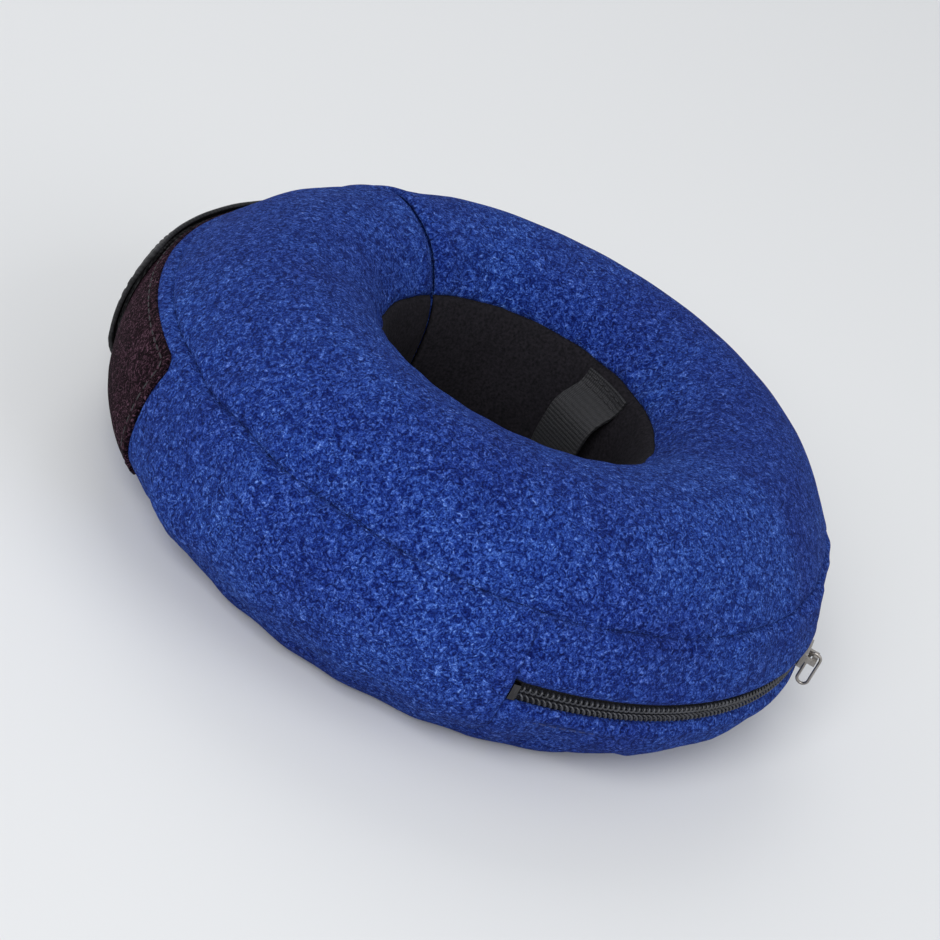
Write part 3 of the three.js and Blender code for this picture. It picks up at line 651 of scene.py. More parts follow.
TAB_LOW, TAB_HIGH = BAND_LOW + 3, BAND_HIGH - 4.5
TAB_LENGTH = 77.0
TAB_BASE_LENGTH = 42.0
TAB_FOLD = 86.0
TAB_THICK = 1.0
TAB_NEAR = 0.4
HOOK_THICK = 0.7
PATCH_LOW, PATCH_HIGH = BAND_LOW + 1.5, BAND_HIGH - 3
PATCH_LENGTH = 104.0
PATCH_START = 98.0
PATCH_THICK = 0.8
LAYER_GAP = 0.25
TIP_ROUND = 9.0
HOOK_MARGIN = 1.5
HOOK_LOW = 2 * LAYER_GAP + PATCH_THICK
TAB_RAISED = HOOK_LOW + HOOK_THICK + LAYER_GAP

VALVE_ANGLE = 20.0
EYELET_BORE_R = 7.25
EYELET_R = 11.0
EYELET_RISE = 1.3  # above the band's face
CLOSURE_MIDDLE = PATCH_START + arc(PATCH_LENGTH) / 2 - 20  # of the strap and patch together
CLOSURE_CALM, VALVE_CALM = (56, 64), (8.5, 13)  # degrees over which creases set in
ZIP_CALM = (3, 9)  # and millimetres from the zip's middle line
BLADDER_INSET = 2.8  # from the cover's face in to the bladder
ZIP_ROOM = 1.8  # and this much more behind the band


# ---- Cloth that follows the ring ----


def samples(length, roll, spacing):
    """Distances along a cloth: close together where its edges turn in."""
    edge = roll * np.array([0, 0.04, 0.12, 0.24, 0.4, 0.6, 0.8, 1.0])
    count = max(2, int((length - 2 * roll) / spacing) + 1)
    middle = np.linspace(roll, length - roll, count)[1:-1]
    return np.concatenate([edge, middle, length - edge[::-1]])


def roll_in(distance, radius):
    """How far cloth has turned in at a distance from its edge."""
    x = np.clip(radius - distance, 0, radius)
    return radius - np.sqrt(np.maximum(radius**2 - x**2, 0))


def edge_shape(distance, roll, welt=0.0):
    """Offset of cloth at a distance from its edge: turned in, then standing up as a soft welt."""
    rise = welt * np.exp(-(((distance - roll) / (0.6 * roll)) ** 2))
    return rise - SEAM_DEPTH * roll_in(distance, roll)


def calm(panel, s, angle):
    """1 where creases are free, 0 under what is sewn to or set in the band."""
    free = fade(away(angle, 90), GAP_HALF, 6)
    if panel != "band":
        return free + 0 * s
    closure = fade(away(angle, CLOSURE_MIDDLE), *CLOSURE_CALM)
    valve = fade(away(angle, VALVE_ANGLE), *VALVE_CALM)
    beside_zip = fade(np.abs(s - band_at(ZIP_Z)), *ZIP_CALM)
    past_zip = fade(away(angle, ZIP_MIDDLE), arc(ZIP_LENGTH / 2) - 1, arc(ZIP_LENGTH / 2) + 5)
    return free * closure * valve * (1 - (1 - beside_zip) * (1 - past_zip))


def puckered(panel, s, angle, beside):
    """Simulated creases, with cloth gathered beside its seams."""
    pucker = PUCKER * waves(angle, 5, 38, 80, seed=3) * np.exp(-beside / PUCKER_REACH)
    ripple = RIPPLE * waves(angle, 4, 16, 34, seed=5) * np.exp(-beside / RIPPLE_REACH)
    share = 0.3 if panel == "neck" else 1.0
    return share * calm(panel, s, angle) * (creases(s, angle) + pucker + ripple)


def seam_wander(seam, angle):
    near_gap = fade(away(angle, 90), GAP_HALF, 8)
    return WANDER * waves(angle, 5, 9, 31, seed=20 + seam) * near_gap


def stray_at(edge, angle):
    """The wander of the seam at a cloth's edge, or none where the edge is no seam."""
    apart = np.abs(SEAMS - edge)
    if apart.min() >= 1:
        return 0 * angle
    return seam_wander(apart.argmin() % len(PANEL_NAMES), angle)


def cloth_piece(name, panel, start, end, material, span=None, ends=(True, True), roll=SEAM_ROLL,
                spacing=1.2, step=0.8):
    """Cloth on a panel between two angles, or on the part of it in span. ends says which of its two
    ends turn in; the other is left square, because the cloth goes on in its neighbour."""
    s_from, s_to = PANEL_SPAN[panel] if span is None else span
    s_from, s_to = s_from + SEAM_GAP, s_to - SEAM_GAP
    local = samples(s_to - s_from, roll, spacing)[:, None]
    radius = float(np.mean(on_section(s_from + local)[0]))
    along = samples(math.radians(end - start) * radius, roll, math.radians(step) * radius)[None]
    angle = start + np.degrees(along / radius)
    share = local / local[-1]
    stray = [stray_at(edge, angle) for edge in (s_from, s_to)]
    s = s_from + local + stray[0] * (1 - share) + stray[1] * share
    beside = np.minimum(local, local[::-1])
    offset = edge_shape(beside, roll, WELT if panel == "band" else 0.0) + 0 * angle
    if ends[0]:
        offset = offset - JOINT_DEPTH * roll_in(along, roll)
    if ends[1]:
        offset = offset - JOINT_DEPTH * roll_in(along[:, ::-1], roll)
    offset = offset + puckered(panel, s, angle, beside) * fade(beside, 0, 1.5)
    if span is not None:
        from_channel = np.abs(s - band_at(ZIP_Z)) - CHANNEL
        offset = offset - CHANNEL_DEPTH * np.exp(-((from_channel / CHANNEL_WIDTH) ** 2))
    inner = np.minimum(0.4 * offset, 0) - CLOTH
    inner = np.minimum(inner, offset - 0.05)
    shapes = [cover_point(s, angle, depth) for depth in (offset, inner)]
    for shape, floor in zip(shapes, (0.02, 0.04)):
        shape[..., 2] = np.maximum(shape[..., 2], floor * MM)
    return shell(name, *shapes, material)


def bend_with_arm(obj):
    """Bakes the piece's placement into its mesh."""
    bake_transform(obj)


def dress(obj, slot, *nodes, body=None):
    """Hides the CAD nodes that a piece stands for and hangs it on the body it rides. slot is not
    used.
    """
    if nodes:
        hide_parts(*nodes)
    if body:
        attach(obj, body)


HALVES = {"right": (-90.0, 90 - GAP_HALF), "left": (90 + GAP_HALF, 270.0)}
FRONT_ENDS = {"right": (False, True), "left": (True, False)}


def make_cover():
    looks = {"top": ("plush", PLUSH, "top_panel"), "bottom": ("plush", PLUSH, "bottom_panel"),
             "neck": ("lining", LINING, "neck_lining")}
    for panel, (slot, material, node) in looks.items():
        for side, (start, end) in HALVES.items():
            piece = cloth_piece(f"cover_{panel}_{side}", panel, start, end, material,
                                ends=FRONT_ENDS[side])
            dress(piece, slot, f"{node}_{side}", f"{node}_front")
            bend_with_arm(piece)


def make_band():
    joint = arc(SEAM_GAP)
    sides = {"right": (ZIP_END + joint, HALVES["right"][1]),
             "left": (HALVES["left"][0], 360 + ZIP_START - joint)}
    for side, (start, end) in sides.items():
        piece = cloth_piece(f"cover_band_{side}", "band", start, end, PLUSH)
        if side == "right":
            cut_with(piece, radial_cutter(EYELET_BORE_R + 0.35))
        dress(piece, "plush", f"band_{side}", f"band_front_{side}")
        bend_with_arm(piece)
    low, high = PANEL_SPAN["band"]
    halves = {"upper": (low, band_at(ZIP_Z + SLOT_HALF)),
              "lower": (band_at(ZIP_Z - SLOT_HALF), high)}
    for name, span in halves.items():
        piece = cloth_piece(f"cover_zip_{name}", "band", ZIP_START + joint, ZIP_END - joint,
                            PLUSH, span=span)
        dress(piece, "plush", f"band_zip_{name}", body="front")


def radial_cutter(radius):
    """A cylinder through the cover and bladder at the valve."""
    inside, outside = OUTER_R - 14, OUTER_R + 6
    profile = [(0, inside), (radius, inside), (radius, outside), (0, outside)]
    return turned("cutter", profile, VALVE_ANGLE, ZIP_Z, PLUSH, round_radius=0)


END_DEPTH = 0.65  # the end cloth is sewn in this far behind the cover's end
END_BACK = 2.0
END_ROLL, END_TURN = 0.06, 0.8  # share of its width that turns in, and how far
END_CLEAR = 0.15  # its middle stays this far from the plane where the two ends meet


def make_end_panels():
    """Cloth that closes the cover at the gap. The air in it presses the two ends together."""
    rings = np.concatenate([np.linspace(0, 0.9, 10), [0.95, 0.98, 1.0]])
    s = np.linspace(0, AROUND, 121)[:-1]
    r, z, nr, nz = on_section(s)
    rim = np.stack([r - nr * (CLOTH + 0.1), z - nz * (CLOTH + 0.1)], 1)
    middle = rim.mean(0)
    flat = middle + (rim - middle) * rings[:, None, None]
    edge = END_TURN * roll_in(1 - rings, END_ROLL) / END_ROLL
    to_plane = END_DEPTH + flat[..., 0] * math.sin(math.radians(GAP_HALF))
    bulge = (to_plane - END_CLEAR) * (1 - rings[:, None] ** 6)
    ends = {"left": (HALVES["left"][0], 1), "right": (HALVES["right"][1], -1)}
    for side, (angle, way) in ends.items():
        layers = []
        for along in (END_DEPTH + edge[:, None] - bulge, END_BACK + edge[:, None] + 0 * bulge):
            place = np.stack([flat[..., 0], way * along, flat[..., 1]], -1)
            layers.append(at_station(place, angle))
        piece = closed_rings(f"end_cloth_{side}", layers[0], layers[1], PLUSH)
        dress(piece, "plush", f"end_panel_{side}", body=f"arm_{side}")


def closed_rings(name, front, back, material):
    """A solid between two stacks of rings whose first ring is a point and whose last ones meet."""
    rows, columns = front.shape[:2]
    size = rows * columns
    index = np.arange(size).reshape(rows, columns)
    faces = [ring_faces(index), ring_faces(index + size)]
    faces.append(ring_faces(np.stack([index[-1], index[-1] + size])))
    vertices = np.concatenate([front.reshape(-1, 3), back.reshape(-1, 3)])
    obj = new_object(name, vertices, np.concatenate(faces), material)
    clean(obj.data, WELD)
    return obj


# ---- Bladder ----

BLADDER_FILM = 0.4
BLADDER_DOME = 9.0  # degrees over which its closed end rounds off
BLADDER_ROWS = 60  # rings before the dome
BLADDER_END = 0.55  # the dome's last ring, before it closes, as a share of the tube
BLADDER_HOLE_R = 6.9


def make_bladder():
    """A film tube that follows the cover from inside, closed and domed at the closure gap."""
    s = np.linspace(0, AROUND, 97)[:-1]
    low, high = PANEL_SPAN["band"]
    room = ZIP_ROOM * fade(s, low - 4, low + 6) * (1 - fade(s, high - 6, high + 4))
    r, z, nr, nz = on_section(s)
    short = GAP_HALF + arc(BLADDER_INSET, NECK_R)
    turn = np.linspace(0, math.pi / 2, 9)[1:]
    shrink = np.concatenate([np.ones(BLADDER_ROWS), BLADDER_END + (1 - BLADDER_END) * np.cos(turn)])
    shrink[-1] = 0.0
    for side, (start, end) in {"right": (-90, 90 - short), "left": (270, 90 + short)}.items():
        way = 1 if end > start else -1
        dome_start = end - way * BLADDER_DOME
        straight = np.linspace(start, dome_start, BLADDER_ROWS)
        angles = np.concatenate([straight, dome_start + way * BLADDER_DOME * np.sin(turn)])
        layers = []
        for film in (0, BLADDER_FILM):
            inset = BLADDER_INSET + room + film
            ring = np.stack([r - nr * inset, z - nz * inset], 1)
            middle = ring.mean(0)
            place = middle + (ring - middle) * shrink[:, None, None]
            shift = np.where(np.arange(len(angles)) >= BLADDER_ROWS, way * arc(film), 0)
            layers.append(polar(place[..., 0], (angles - shift)[:, None], place[..., 1])[::-1])
        piece = closed_rings(f"bladder_tube_{side}", layers[0], layers[1], VINYL)
        if side == "right":
            cut_with(piece, radial_cutter(BLADDER_HOLE_R))
        dress(piece, "bladder_vinyl", f"bladder_{side}", "bladder_front")
        bend_with_arm(piece)


# ---- Strips and stitches on the band ----


def band_strip(name, z_low, z_high, start, end, under, thick, material, rounds=(0.0, 0.0),
               roll=0.35, relief=0.0, spacing=1.1):
    """A flat strip on the band with turned edges. under is its underside's offset, a number or a
    function of the angle, and rounds are the corner radii at its two ends."""
    length = math.radians(end - start) * OUTER_R
    along = samples(length, roll, spacing)[None]
    angle = start + arc(along)
    half = (z_high - z_low) / 2
    inset = sum(roll_in(x, radius) for x, radius in zip((along, length - along), rounds) if radius)
    rows = samples(2 * half, roll, 1.3)[:, None]
    z = (z_low + z_high) / 2 + (rows / half - 1) * (half - inset)
    beneath = (under(angle) if callable(under) else under) + 0 * z
    turned_in = (roll_in(np.minimum(rows, rows[::-1]), roll)
                 + roll_in(np.minimum(along, length - along), roll))
    wave = relief * waves(angle, 4, 20, 50, seed=11) * np.sin(rows * 0.35)
    top = beneath + thick - np.minimum(turned_in, 0.8 * thick) + wave
    return shell(name, band_point(angle, z, top), band_point(angle, z, beneath), material)


def resample(points, pitch, closed=False):
    """Evenly spaced points along a line, about a pitch apart."""
    p = np.array(points, float)
    if closed:
        p = np.vstack([p, p[:1]])
    s = np.concatenate([[0], np.cumsum(np.linalg.norm(np.diff(p, axis=0), axis=1))])
    count = max(2, round(s[-1] / pitch) + 1)
    at = np.linspace(0, s[-1], count)
    return np.stack([np.interp(at, s, column) for column in p.T], 1)


def stitch_mesh(name, lines, material, radius, cover=0.72):
    """Short threads along lines of points in metres. Each gap between two points holds one."""
    starts = np.concatenate([line[:-1] for line in lines])
    ends = np.concatenate([line[1:] for line in lines])
    middle, half = (starts + ends) / 2, (ends - starts) / 2 * cover
    direction = half / np.linalg.norm(half, axis=1)[:, None]
    side = np.cross(direction, [0.31, 0.17, 0.93])
    side /= np.linalg.norm(side, axis=1)[:, None]
    up = np.cross(direction, side)
    along = np.array([-1, -0.9, -0.5, 0.5, 0.9, 1])
    thick = np.array([0.05, 0.62, 1, 1, 0.62, 0.05]) * radius * MM
    turn = full_turn(6)[:, None, None]
    ring = np.cos(turn) * side + np.sin(turn) * up
    vertices = (middle + half * along[:, None, None])[:, None] + thick[:, None, None, None] * ring
    vertices = vertices.transpose(2, 0, 1, 3)
    index = np.arange(vertices.size // 3).reshape(vertices.shape[:3])
    faces = [ring_faces(one) for one in index]
    caps = [f for one in index for f in (one[0][::-1], one[-1])]
    return new_object(name, vertices, [*np.concatenate(faces), *caps], material)


def sew(name, lines, body, thread=BLACK_THREAD, radius=0.22):
    """Stitches that ride on the body they are sewn to."""
    piece = stitch_mesh(name, lines, thread, radius)
    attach(piece, body)


def band_stitches(outline, offset, pitch=3.0, closed=True):
    """Points in metres along an outline of (distance round the ring, height) on the band."""
    points = resample(outline, pitch, closed)
    depth = offset(arc(points[:, 0])) if callable(offset) else offset
    return band_point(arc(points[:, 0]), points[:, 1], depth)


def rectangle(x0, x1, y0, y1):
    return [(x0, y0), (x1, y0), (x1, y1), (x0, y1)]


# ---- Zip ----


TAPE_NEAR, TAPE_FAR = 0.3, 9.0  # its edges, from the zip's middle line
TAPE_THICK = 0.4
COIL_MARGIN = 2.1  # the coils stop this far from each end
COIL_APART = 0.11  # from the zip's middle line to a row
COIL_LEAN = 0.18
TOPSTITCH_MARGIN = 2.2


def make_tapes():
    joint = arc(SEAM_GAP)
    edges = {"upper": (ZIP_Z + TAPE_NEAR, ZIP_Z + TAPE_FAR),
             "lower": (ZIP_Z - TAPE_FAR, ZIP_Z - TAPE_NEAR)}
    for name, (low, high) in edges.items():
        piece = band_strip(f"zip_cloth_{name}", low, high, ZIP_START + joint, ZIP_END - joint,
                           -TAPE_DEPTH - TAPE_THICK, TAPE_THICK, TAPE, roll=0.15)
        dress(piece, "zip_tape", f"zip_tape_{name}", body="front")


def make_coils():
    """Two rows of nylon coil, each one long helix flattened against its tape."""
    turns = (ZIP_LENGTH - 2 * COIL_MARGIN) / COIL_PITCH
    t = np.linspace(0, turns, int(turns * 14))
    rise = (COIL_EDGE - 2 * COIL_APART) / 2 - COIL_WIRE
    depth = (COIL_IN - COIL_OUT) / 2 - COIL_WIRE
    middle_angle = (ZIP_START + ZIP_END) / 2
    for name, way in {"upper": 1, "lower": -1}.items():
        phase = 2 * np.pi * (t + (0.5 if way < 0 else 0))
        x = (t - turns / 2) * COIL_PITCH + COIL_LEAN * COIL_PITCH * np.sin(phase)
        z = ZIP_Z + way * ((COIL_EDGE + 2 * COIL_APART) / 2 - rise * np.cos(phase))
        offset = -(COIL_IN + COIL_OUT) / 2 + depth * np.sin(phase)
        path = band_point(middle_angle + arc(x), z, offset)
        piece = tube(f"zip_coil_{name}", path, COIL_WIRE * MM, COIL, sides=6)
        dress(piece, "zip_coil", f"zip_teeth_{name}", body="front")


def make_zip_stitches():
    x0, x1 = length_at(ZIP_START) + TOPSTITCH_MARGIN, length_at(ZIP_END) - TOPSTITCH_MARGIN
    lines = []
    for z in (ZIP_Z + CHANNEL, ZIP_Z - CHANNEL):
        lines.append(band_stitches([(x0, z), (x1, z)], -CHANNEL_DEPTH, pitch=2.4, closed=False))
    sew("zip_topstitch", lines, "front", BLUE_THREAD, radius=0.2)


def joint_named(name):
    return next(joint for joint in frame["joints"] if joint["name"] == name)


def make_pull():
    """The wire loop that hangs on the slider's bridge."""
    axis = np.array(joint_named("zip_pull_swing")["pos_m"]) / MM
    distance = math.hypot(axis[0], axis[1])
    angle = math.degrees(math.atan2(axis[1], axis[0]))
    wire, inner = 0.75, 1.0
    middle = inner + wire / 2
    drop = axis[2] - box_mm("zip_pull")[0][2] - middle - wire / 2
    turn = np.linspace(0, math.pi, 17)
    upper = np.stack([np.cos(turn), 0 * turn, np.sin(turn)], 1) * middle
    lower = np.stack([-np.cos(turn), 0 * turn, -np.sin(turn) - drop / middle], 1) * middle
    loop = np.vstack([upper, resample([upper[-1], lower[0]], 0.6)[1:-1], lower,
                      resample([lower[-1], upper[0]], 0.6)[1:-1]])
    loop[:, 0] += distance
    piece = tube("pull_loop", at_station(loop, angle, axis[2]), wire / 2 * MM, METAL,
                 sides=12, closed=True)
    dress(piece, "zip_metal", "zip_pull", body="zip_pull")


def bevel(node, width, material):
    """Rounds a CAD part's edges and gives it its finish."""
    obj = frame["nodes"][node]
    obj.data.materials.clear()
    obj.data.materials.append(material)
    modifier = obj.modifiers.new("bevel", "BEVEL")
    modifier.width = width * MM
    modifier.segments = 3
    modifier.limit_method = "ANGLE"
    modifier.angle_limit = math.radians(25)
    modifier.harden_normals = True


# ---- Closure ----


STITCH_INSET = 2.0  # from a strip's edges to its stitches
STITCH_SINK = 0.02  # how far they are pulled in
BOX_STITCH = 24.0  # length of the crossed box on the strap's base


def tab_under(angle):
    """The strap's underside: near the band, then raised over the patch and hooks."""
    start = PATCH_START - 4
    return TAB_NEAR + (TAB_RAISED - TAB_NEAR) * fade(angle, start, start + 4.5)


def make_closure():
    base_start = TAB_FOLD - arc(TAB_BASE_LENGTH)
    tab_end = TAB_FOLD + arc(TAB_LENGTH)
    patch_end = PATCH_START + arc(PATCH_LENGTH)
    strap = band_strip("tab_strap", TAB_LOW, TAB_HIGH, base_start, tab_end, tab_under, TAB_THICK,
                       WEBBING, rounds=(2.0, TIP_ROUND), relief=0.12, spacing=0.7)
    dress(strap, "webbing", "closure_tab_base", "closure_tab")
    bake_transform(strap)
    hooks = band_strip("tab_hooks", TAB_LOW + HOOK_MARGIN, TAB_HIGH - HOOK_MARGIN, PATCH_START + 2,
                       tab_end - arc(2), HOOK_LOW, HOOK_THICK, HOOKS,
                       rounds=(1.5, TIP_ROUND - HOOK_MARGIN), roll=0.2)
    dress(hooks, "hook_and_loop", "closure_hook_pad", body="closure_tab")
    patch = band_strip("loop_patch", PATCH_LOW, PATCH_HIGH, PATCH_START, patch_end, LAYER_GAP - 0.2,
                       PATCH_THICK + 0.2, LOOP_PILE, rounds=(2.0, 4.0), roll=0.5, relief=0.12)
    dress(patch, "hook_and_loop", "closure_loop_patch", body="arm_left")
    sew_closure(base_start, tab_end, patch_end)


def sew_closure(base_start, tab_end, patch_end):
    inset = STITCH_INSET
    x0, x1 = length_at(PATCH_START) + inset, length_at(patch_end) - inset
    top = LAYER_GAP + PATCH_THICK - STITCH_SINK
    edge = band_stitches(rectangle(x0, x1, PATCH_LOW + inset, PATCH_HIGH - inset), top)
    sew("patch_stitches", [edge], "arm_left")

    x0, x1 = length_at(base_start) + inset, length_at(TAB_FOLD) - inset
    y0, y1 = TAB_LOW + inset, TAB_HIGH - inset
    top = TAB_NEAR + TAB_THICK - STITCH_SINK
    box_x = x0 + BOX_STITCH
    lines = [band_stitches(rectangle(x0, x1, y0, y1), top)]
    for a, b in (((box_x, y0), (box_x, y1)), ((x0, y0), (box_x, y1)), ((x0, y1), (box_x, y0))):
        lines.append(band_stitches([a, b], top, closed=False))
    sew("base_stitches", lines, "arm_right")

    x0, x1 = length_at(PATCH_START + 3), length_at(tab_end) - inset
    corner = TIP_ROUND - inset
    turn = np.linspace(0, math.pi / 2, 8)
    upper = [(x1 - corner + corner * math.sin(t), y1 - corner + corner * math.cos(t)) for t in turn]
    lower = [(x, y0 + y1 - y) for x, y in upper[::-1]]
    outline = [(x0, y0), (x0, y1), *upper, *lower]
    line = band_stitches(outline, lambda angle: tab_under(angle) + TAB_THICK - STITCH_SINK)
    sew("tab_stitches", [line], "closure_tab")


# ---- Webbing loops in the neck opening ----

LOOP_WIDTH = 14.0
LOOP_THICK = 1.2
LOOP_SLACK = 6.0  # it stands this far off the lining
LOOP_SEWN = 4.0  # length that is sewn down at each end
LOOP_RAMP = 6.0
LOOP_ROLL = 0.4


def lining_r(z):
    inside = SECTION_S >= PANEL_SPAN["neck"][0]
    return float(np.interp(z, SECTION[inside, 1], SECTION[inside, 0]))


def make_loop(name, angle, body):
    low, high = NECK_BOTTOM[1] + 2, NECK_TOP[1] - 2
    stand = NECK_R - LOOP_SLACK - LOOP_THICK / 2

    def sewn(z):
        return (lining_r(z) - LOOP_THICK / 2 - 0.15, z, 1.0)

    line = spline([sewn(low), sewn(low + LOOP_SEWN), (stand, low + LOOP_SEWN + LOOP_RAMP, 0),
                   (stand, high - LOOP_SEWN - LOOP_RAMP, 0), sewn(high - LOOP_SEWN), sewn(high)], 9)
    along = np.gradient(line[:, :2], axis=0)
    normal = np.stack([-along[:, 1], along[:, 0]], 1) / np.linalg.norm(along, axis=1)[:, None]
    y = samples(LOOP_WIDTH, LOOP_ROLL, 0.9) - LOOP_WIDTH / 2
    sag = (NECK_R - np.sqrt(NECK_R**2 - y**2))[None] * line[:, 2:3]
    taper = (LOOP_THICK / 2 - 0.8 * roll_in(np.minimum(y - y[0], y[-1] - y), LOOP_ROLL))[None]
    grids = []
    for way in (1, -1):
        out = line[:, :1] + way * normal[:, :1] * taper - sag
        up = line[:, 1:2] + way * normal[:, 1:2] * taper
        out, up = np.broadcast_arrays(out, up)
        grids.append(at_station(np.stack([out, np.broadcast_to(y, out.shape), up], -1), angle))
    strap = shell(f"{name}_strap", grids[0], grids[1], WEBBING)
    dress(strap, "webbing", name, body=body)

    lines = []
    for z0 in (low + 0.9, high - LOOP_SEWN + 0.7):
        for z in (z0, z0 + LOOP_SEWN - 1.8):
            width = np.linspace(-LOOP_WIDTH / 2 + 1.5, LOOP_WIDTH / 2 - 1.5, 6)
            face = lining_r(z) - LOOP_THICK - 0.13 - (NECK_R - np.sqrt(NECK_R**2 - width**2))
            lines.append(at_station(np.stack([face, width, 0 * width + z], -1), angle))
    sew(f"{name}_stitches", lines, body)


# ---- Valve ----


STEM_TRAVEL = 8.0
STEM_R, BORE_R, SEAT_R, COLLAR_R, RING_R = 4.4, 2.8, 4.7, 6.5, 5.8


def at_valve(points):
    """Points in metres from (out, along, up) beside the valve's axis in millimetres."""
    return at_station(np.array(points, float), VALVE_ANGLE, ZIP_Z)


def make_valve():
    """Seat, stem, tether ring, plug and flap, each placed by its distance out from the middle."""
    wall = OUTER_R - BLADDER_INSET - ZIP_ROOM  # outside of the bladder
    flange = wall - 1 - 4.2
    collar_end = wall + 1.1
    lip = flange - 1 - STEM_TRAVEL - 0.2
    rim = OUTER_R + 1.4
    ring = collar_end + 1.1
    plug = rim + 0.3
    turned_parts = {
        "valve_seat": ("valve_body", "arm_right", [
            (SEAT_R, flange - 1), (10, flange - 1), (10, flange), (COLLAR_R, flange),
            (COLLAR_R, collar_end), (SEAT_R, collar_end)]),
        "valve_tube": ("valve_stem", "valve_stem", [
            (BORE_R, lip - 0.8), (6.2, lip - 0.8), (6.2, lip), (STEM_R, lip), (STEM_R, rim - 1.1),
            (STEM_R + 0.45, rim - 0.9), (STEM_R + 0.45, rim), (BORE_R, rim)]),
        "tether_ring": ("valve_tether_ring", "valve_stem", [
            (SEAT_R, ring), (RING_R, ring), (RING_R, ring + 1.2), (SEAT_R, ring + 1.2)]),
        "plug_cap": ("valve_plug", "valve_plug", [
            (0, plug - 2.5), (2.4, plug - 2.5), (2.4, plug), (5.4, plug), (5.4, plug + 1.4),
            (4.0, plug + 1.4), (3.6, plug + 1.0), (0, plug + 1.0)]),
        "flap_disc": ("valve_flap", "valve_flap", [
            (0, lip - 1.7), (3.6, lip - 1.7), (3.6, lip - 1.1), (0, lip - 1.1)]),
    }
    for name, (node, body, profile) in turned_parts.items():
        piece = turned(name, profile, VALVE_ANGLE, ZIP_Z, VALVE, round_radius=0.22)
        dress(piece, "valve_plastic", node, body=body)

    route = spline([(ring + 0.6, 0, -5.3), (ring + 1.7, 0, -6.5), (plug - 0.9, 0, -6.85),
                    (plug + 0.2, 0, -6.5), (plug + 0.7, 0, -5.1)], 8)
    strap = tube("plug_tether", at_valve(route), 1.3 * MM, VALVE, sides=12, flat=0.2)
    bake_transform(strap)
    line = [(plug + 0.7, 0, z) for z in (4.6, 5.6, 6.4, 6.9, 7.1)]
    grip = tube("plug_grip", at_valve(line), 1.6 * MM, VALVE, sides=16, flat=0.4)
    dress(grip, "valve_plastic", body="valve_plug")


def make_eyelet():
    """A moulded ring that follows the band's face."""
    profile = rounded([(EYELET_BORE_R, 0.1), (EYELET_R, 0.1), (EYELET_R, 0.8),
                       (EYELET_R - 1.2, EYELET_RISE), (EYELET_BORE_R + 0.4, EYELET_RISE),
                       (EYELET_BORE_R, 0.9)], 0.35)
    turn = full_turn(72)
    along = profile[:, :1] * np.cos(turn)
    up = profile[:, :1] * np.sin(turn)
    r = on_section(band_at(ZIP_Z + up))[0]
    angle = VALVE_ANGLE + np.degrees(np.arcsin(along / r))
    piece = looped("eyelet_ring", band_point(angle, ZIP_Z + up, profile[:, 1:]), EYELET)
    dress(piece, "eyelet", "valve_eyelet", body="arm_right")


make_cover()
make_band()
make_end_panels()
make_bladder()
make_tapes()
make_coils()
make_zip_stitches()
make_pull()
bevel("zip_slider", 0.16, METAL)
bevel("zip_stop_left", 0.4, DARK_METAL)
bevel("zip_stop_right", 0.4, DARK_METAL)
make_closure()
make_loop("collar_loop_front", -90, "front")
make_loop("collar_loop_left", 180, "arm_left")
make_loop("collar_loop_right", 0, "arm_right")
make_valve()
make_eyelet()

# ---- Floor, light and camera ----

VIEW_AZIMUTH, VIEW_ELEVATION, VIEW_ROLL = -52.0, 28.0, 27.5
VIEW_DISTANCE = 0.6
AIM_HEIGHT = 0.46  # share of the ring's height
AIM_ASIDE, AIM_DOWN = 2.8, 4.0
LENS = 98.0
FLOOR_HALF = 1.1  # metres
WORLD_STRENGTH = 0.42
BACKDROP = (0.74, 0.76, 0.79)  # what is seen past the floor


def make_floor():
    size = FLOOR_HALF
    mesh = bpy.data.meshes.new("floor")
    corners = [(-size, -size, 0), (size, -size, 0), (size, size, 0), (-size, size, 0)]
    mesh.from_pydata(corners, [], [(0, 1, 2, 3)])
    n = Nodes("floor", Roughness=0.9, Specular_IOR_Level=0.1)
    n.color((0.78, 0.79, 0.80))
    mesh.materials.append(n.material)
    floor = add_object("floor", mesh)


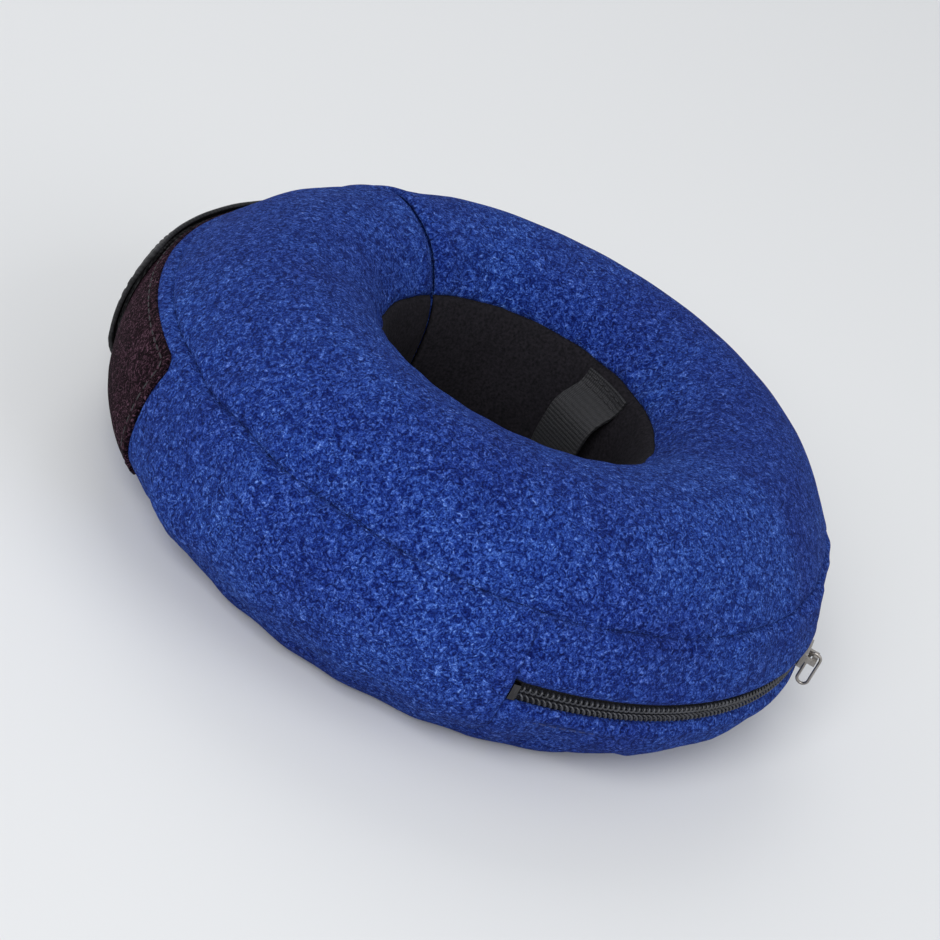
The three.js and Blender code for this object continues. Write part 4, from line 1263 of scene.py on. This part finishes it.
def area_light(name, place, power, size, target=(0, 0, 0.03)):
    data = bpy.data.lights.new(name, "AREA")
    data.energy = power
    data.size = size
    light = add_object(name, data)
    light.location = place
    direction = Vector(target) - Vector(place)
    light.rotation_euler = direction.to_track_quat("-Z", "Y").to_euler()


def make_light():
    world = bpy.data.worlds.new("studio")
    world.use_nodes = True
    n = Tree(world.node_tree)
    lit = n.add("Background", Color=(0.95, 0.97, 1.0), Strength=WORLD_STRENGTH)
    seen = n.add("Background", Color=BACKDROP)
    ray = n.add("LightPath").outputs
    share = n.math("MAXIMUM", ray["Is Camera Ray"], ray["Is Glossy Ray"])
    share = n.math("MAXIMUM", share, ray["Is Transmission Ray"])
    mix = n.add("MixShader")
    for socket, value in zip(mix.inputs, (share, lit.outputs[0], seen.outputs[0])):
        n.feed(socket, value)
    n.feed(n.tree.nodes["World Output"].inputs["Surface"], mix.outputs[0])
    bpy.context.scene.world = world
    area_light("key", (-2.2, -1.0, 1.8), 66, 1.6)
    area_light("fill", (1.0, -2.6, 1.8), 23, 2.4)
    area_light("back", (1.2, 2.0, 2.4), 19, 2.0)


def make_camera():
    a, e, roll = (math.radians(x) for x in (VIEW_AZIMUTH, VIEW_ELEVATION, VIEW_ROLL))
    back = Vector((math.sin(a) * math.cos(e), -math.cos(a) * math.cos(e), math.sin(e)))
    right = Vector((math.cos(a), math.sin(a), 0))
    up = back.cross(right)
    x = right * math.cos(roll) + up * math.sin(roll)
    y = up * math.cos(roll) - right * math.sin(roll)
    centre = Vector((0, 0, AIM_HEIGHT * HEIGHT * MM)) - x * AIM_ASIDE * MM - y * AIM_DOWN * MM
    data = bpy.data.cameras.new("camera")
    data.lens = LENS
    data.sensor_width = 36
    data.clip_start = 0.01
    camera = add_object("camera", data)
    turned_axes = Matrix((x, y, back)).transposed().to_4x4()
    camera.matrix_world = Matrix.Translation(centre + back * VIEW_DISTANCE) @ turned_axes
    bpy.context.scene.camera = camera
    bpy.context.scene.view_settings.view_transform = "Standard"


make_floor()
make_light()
make_camera()
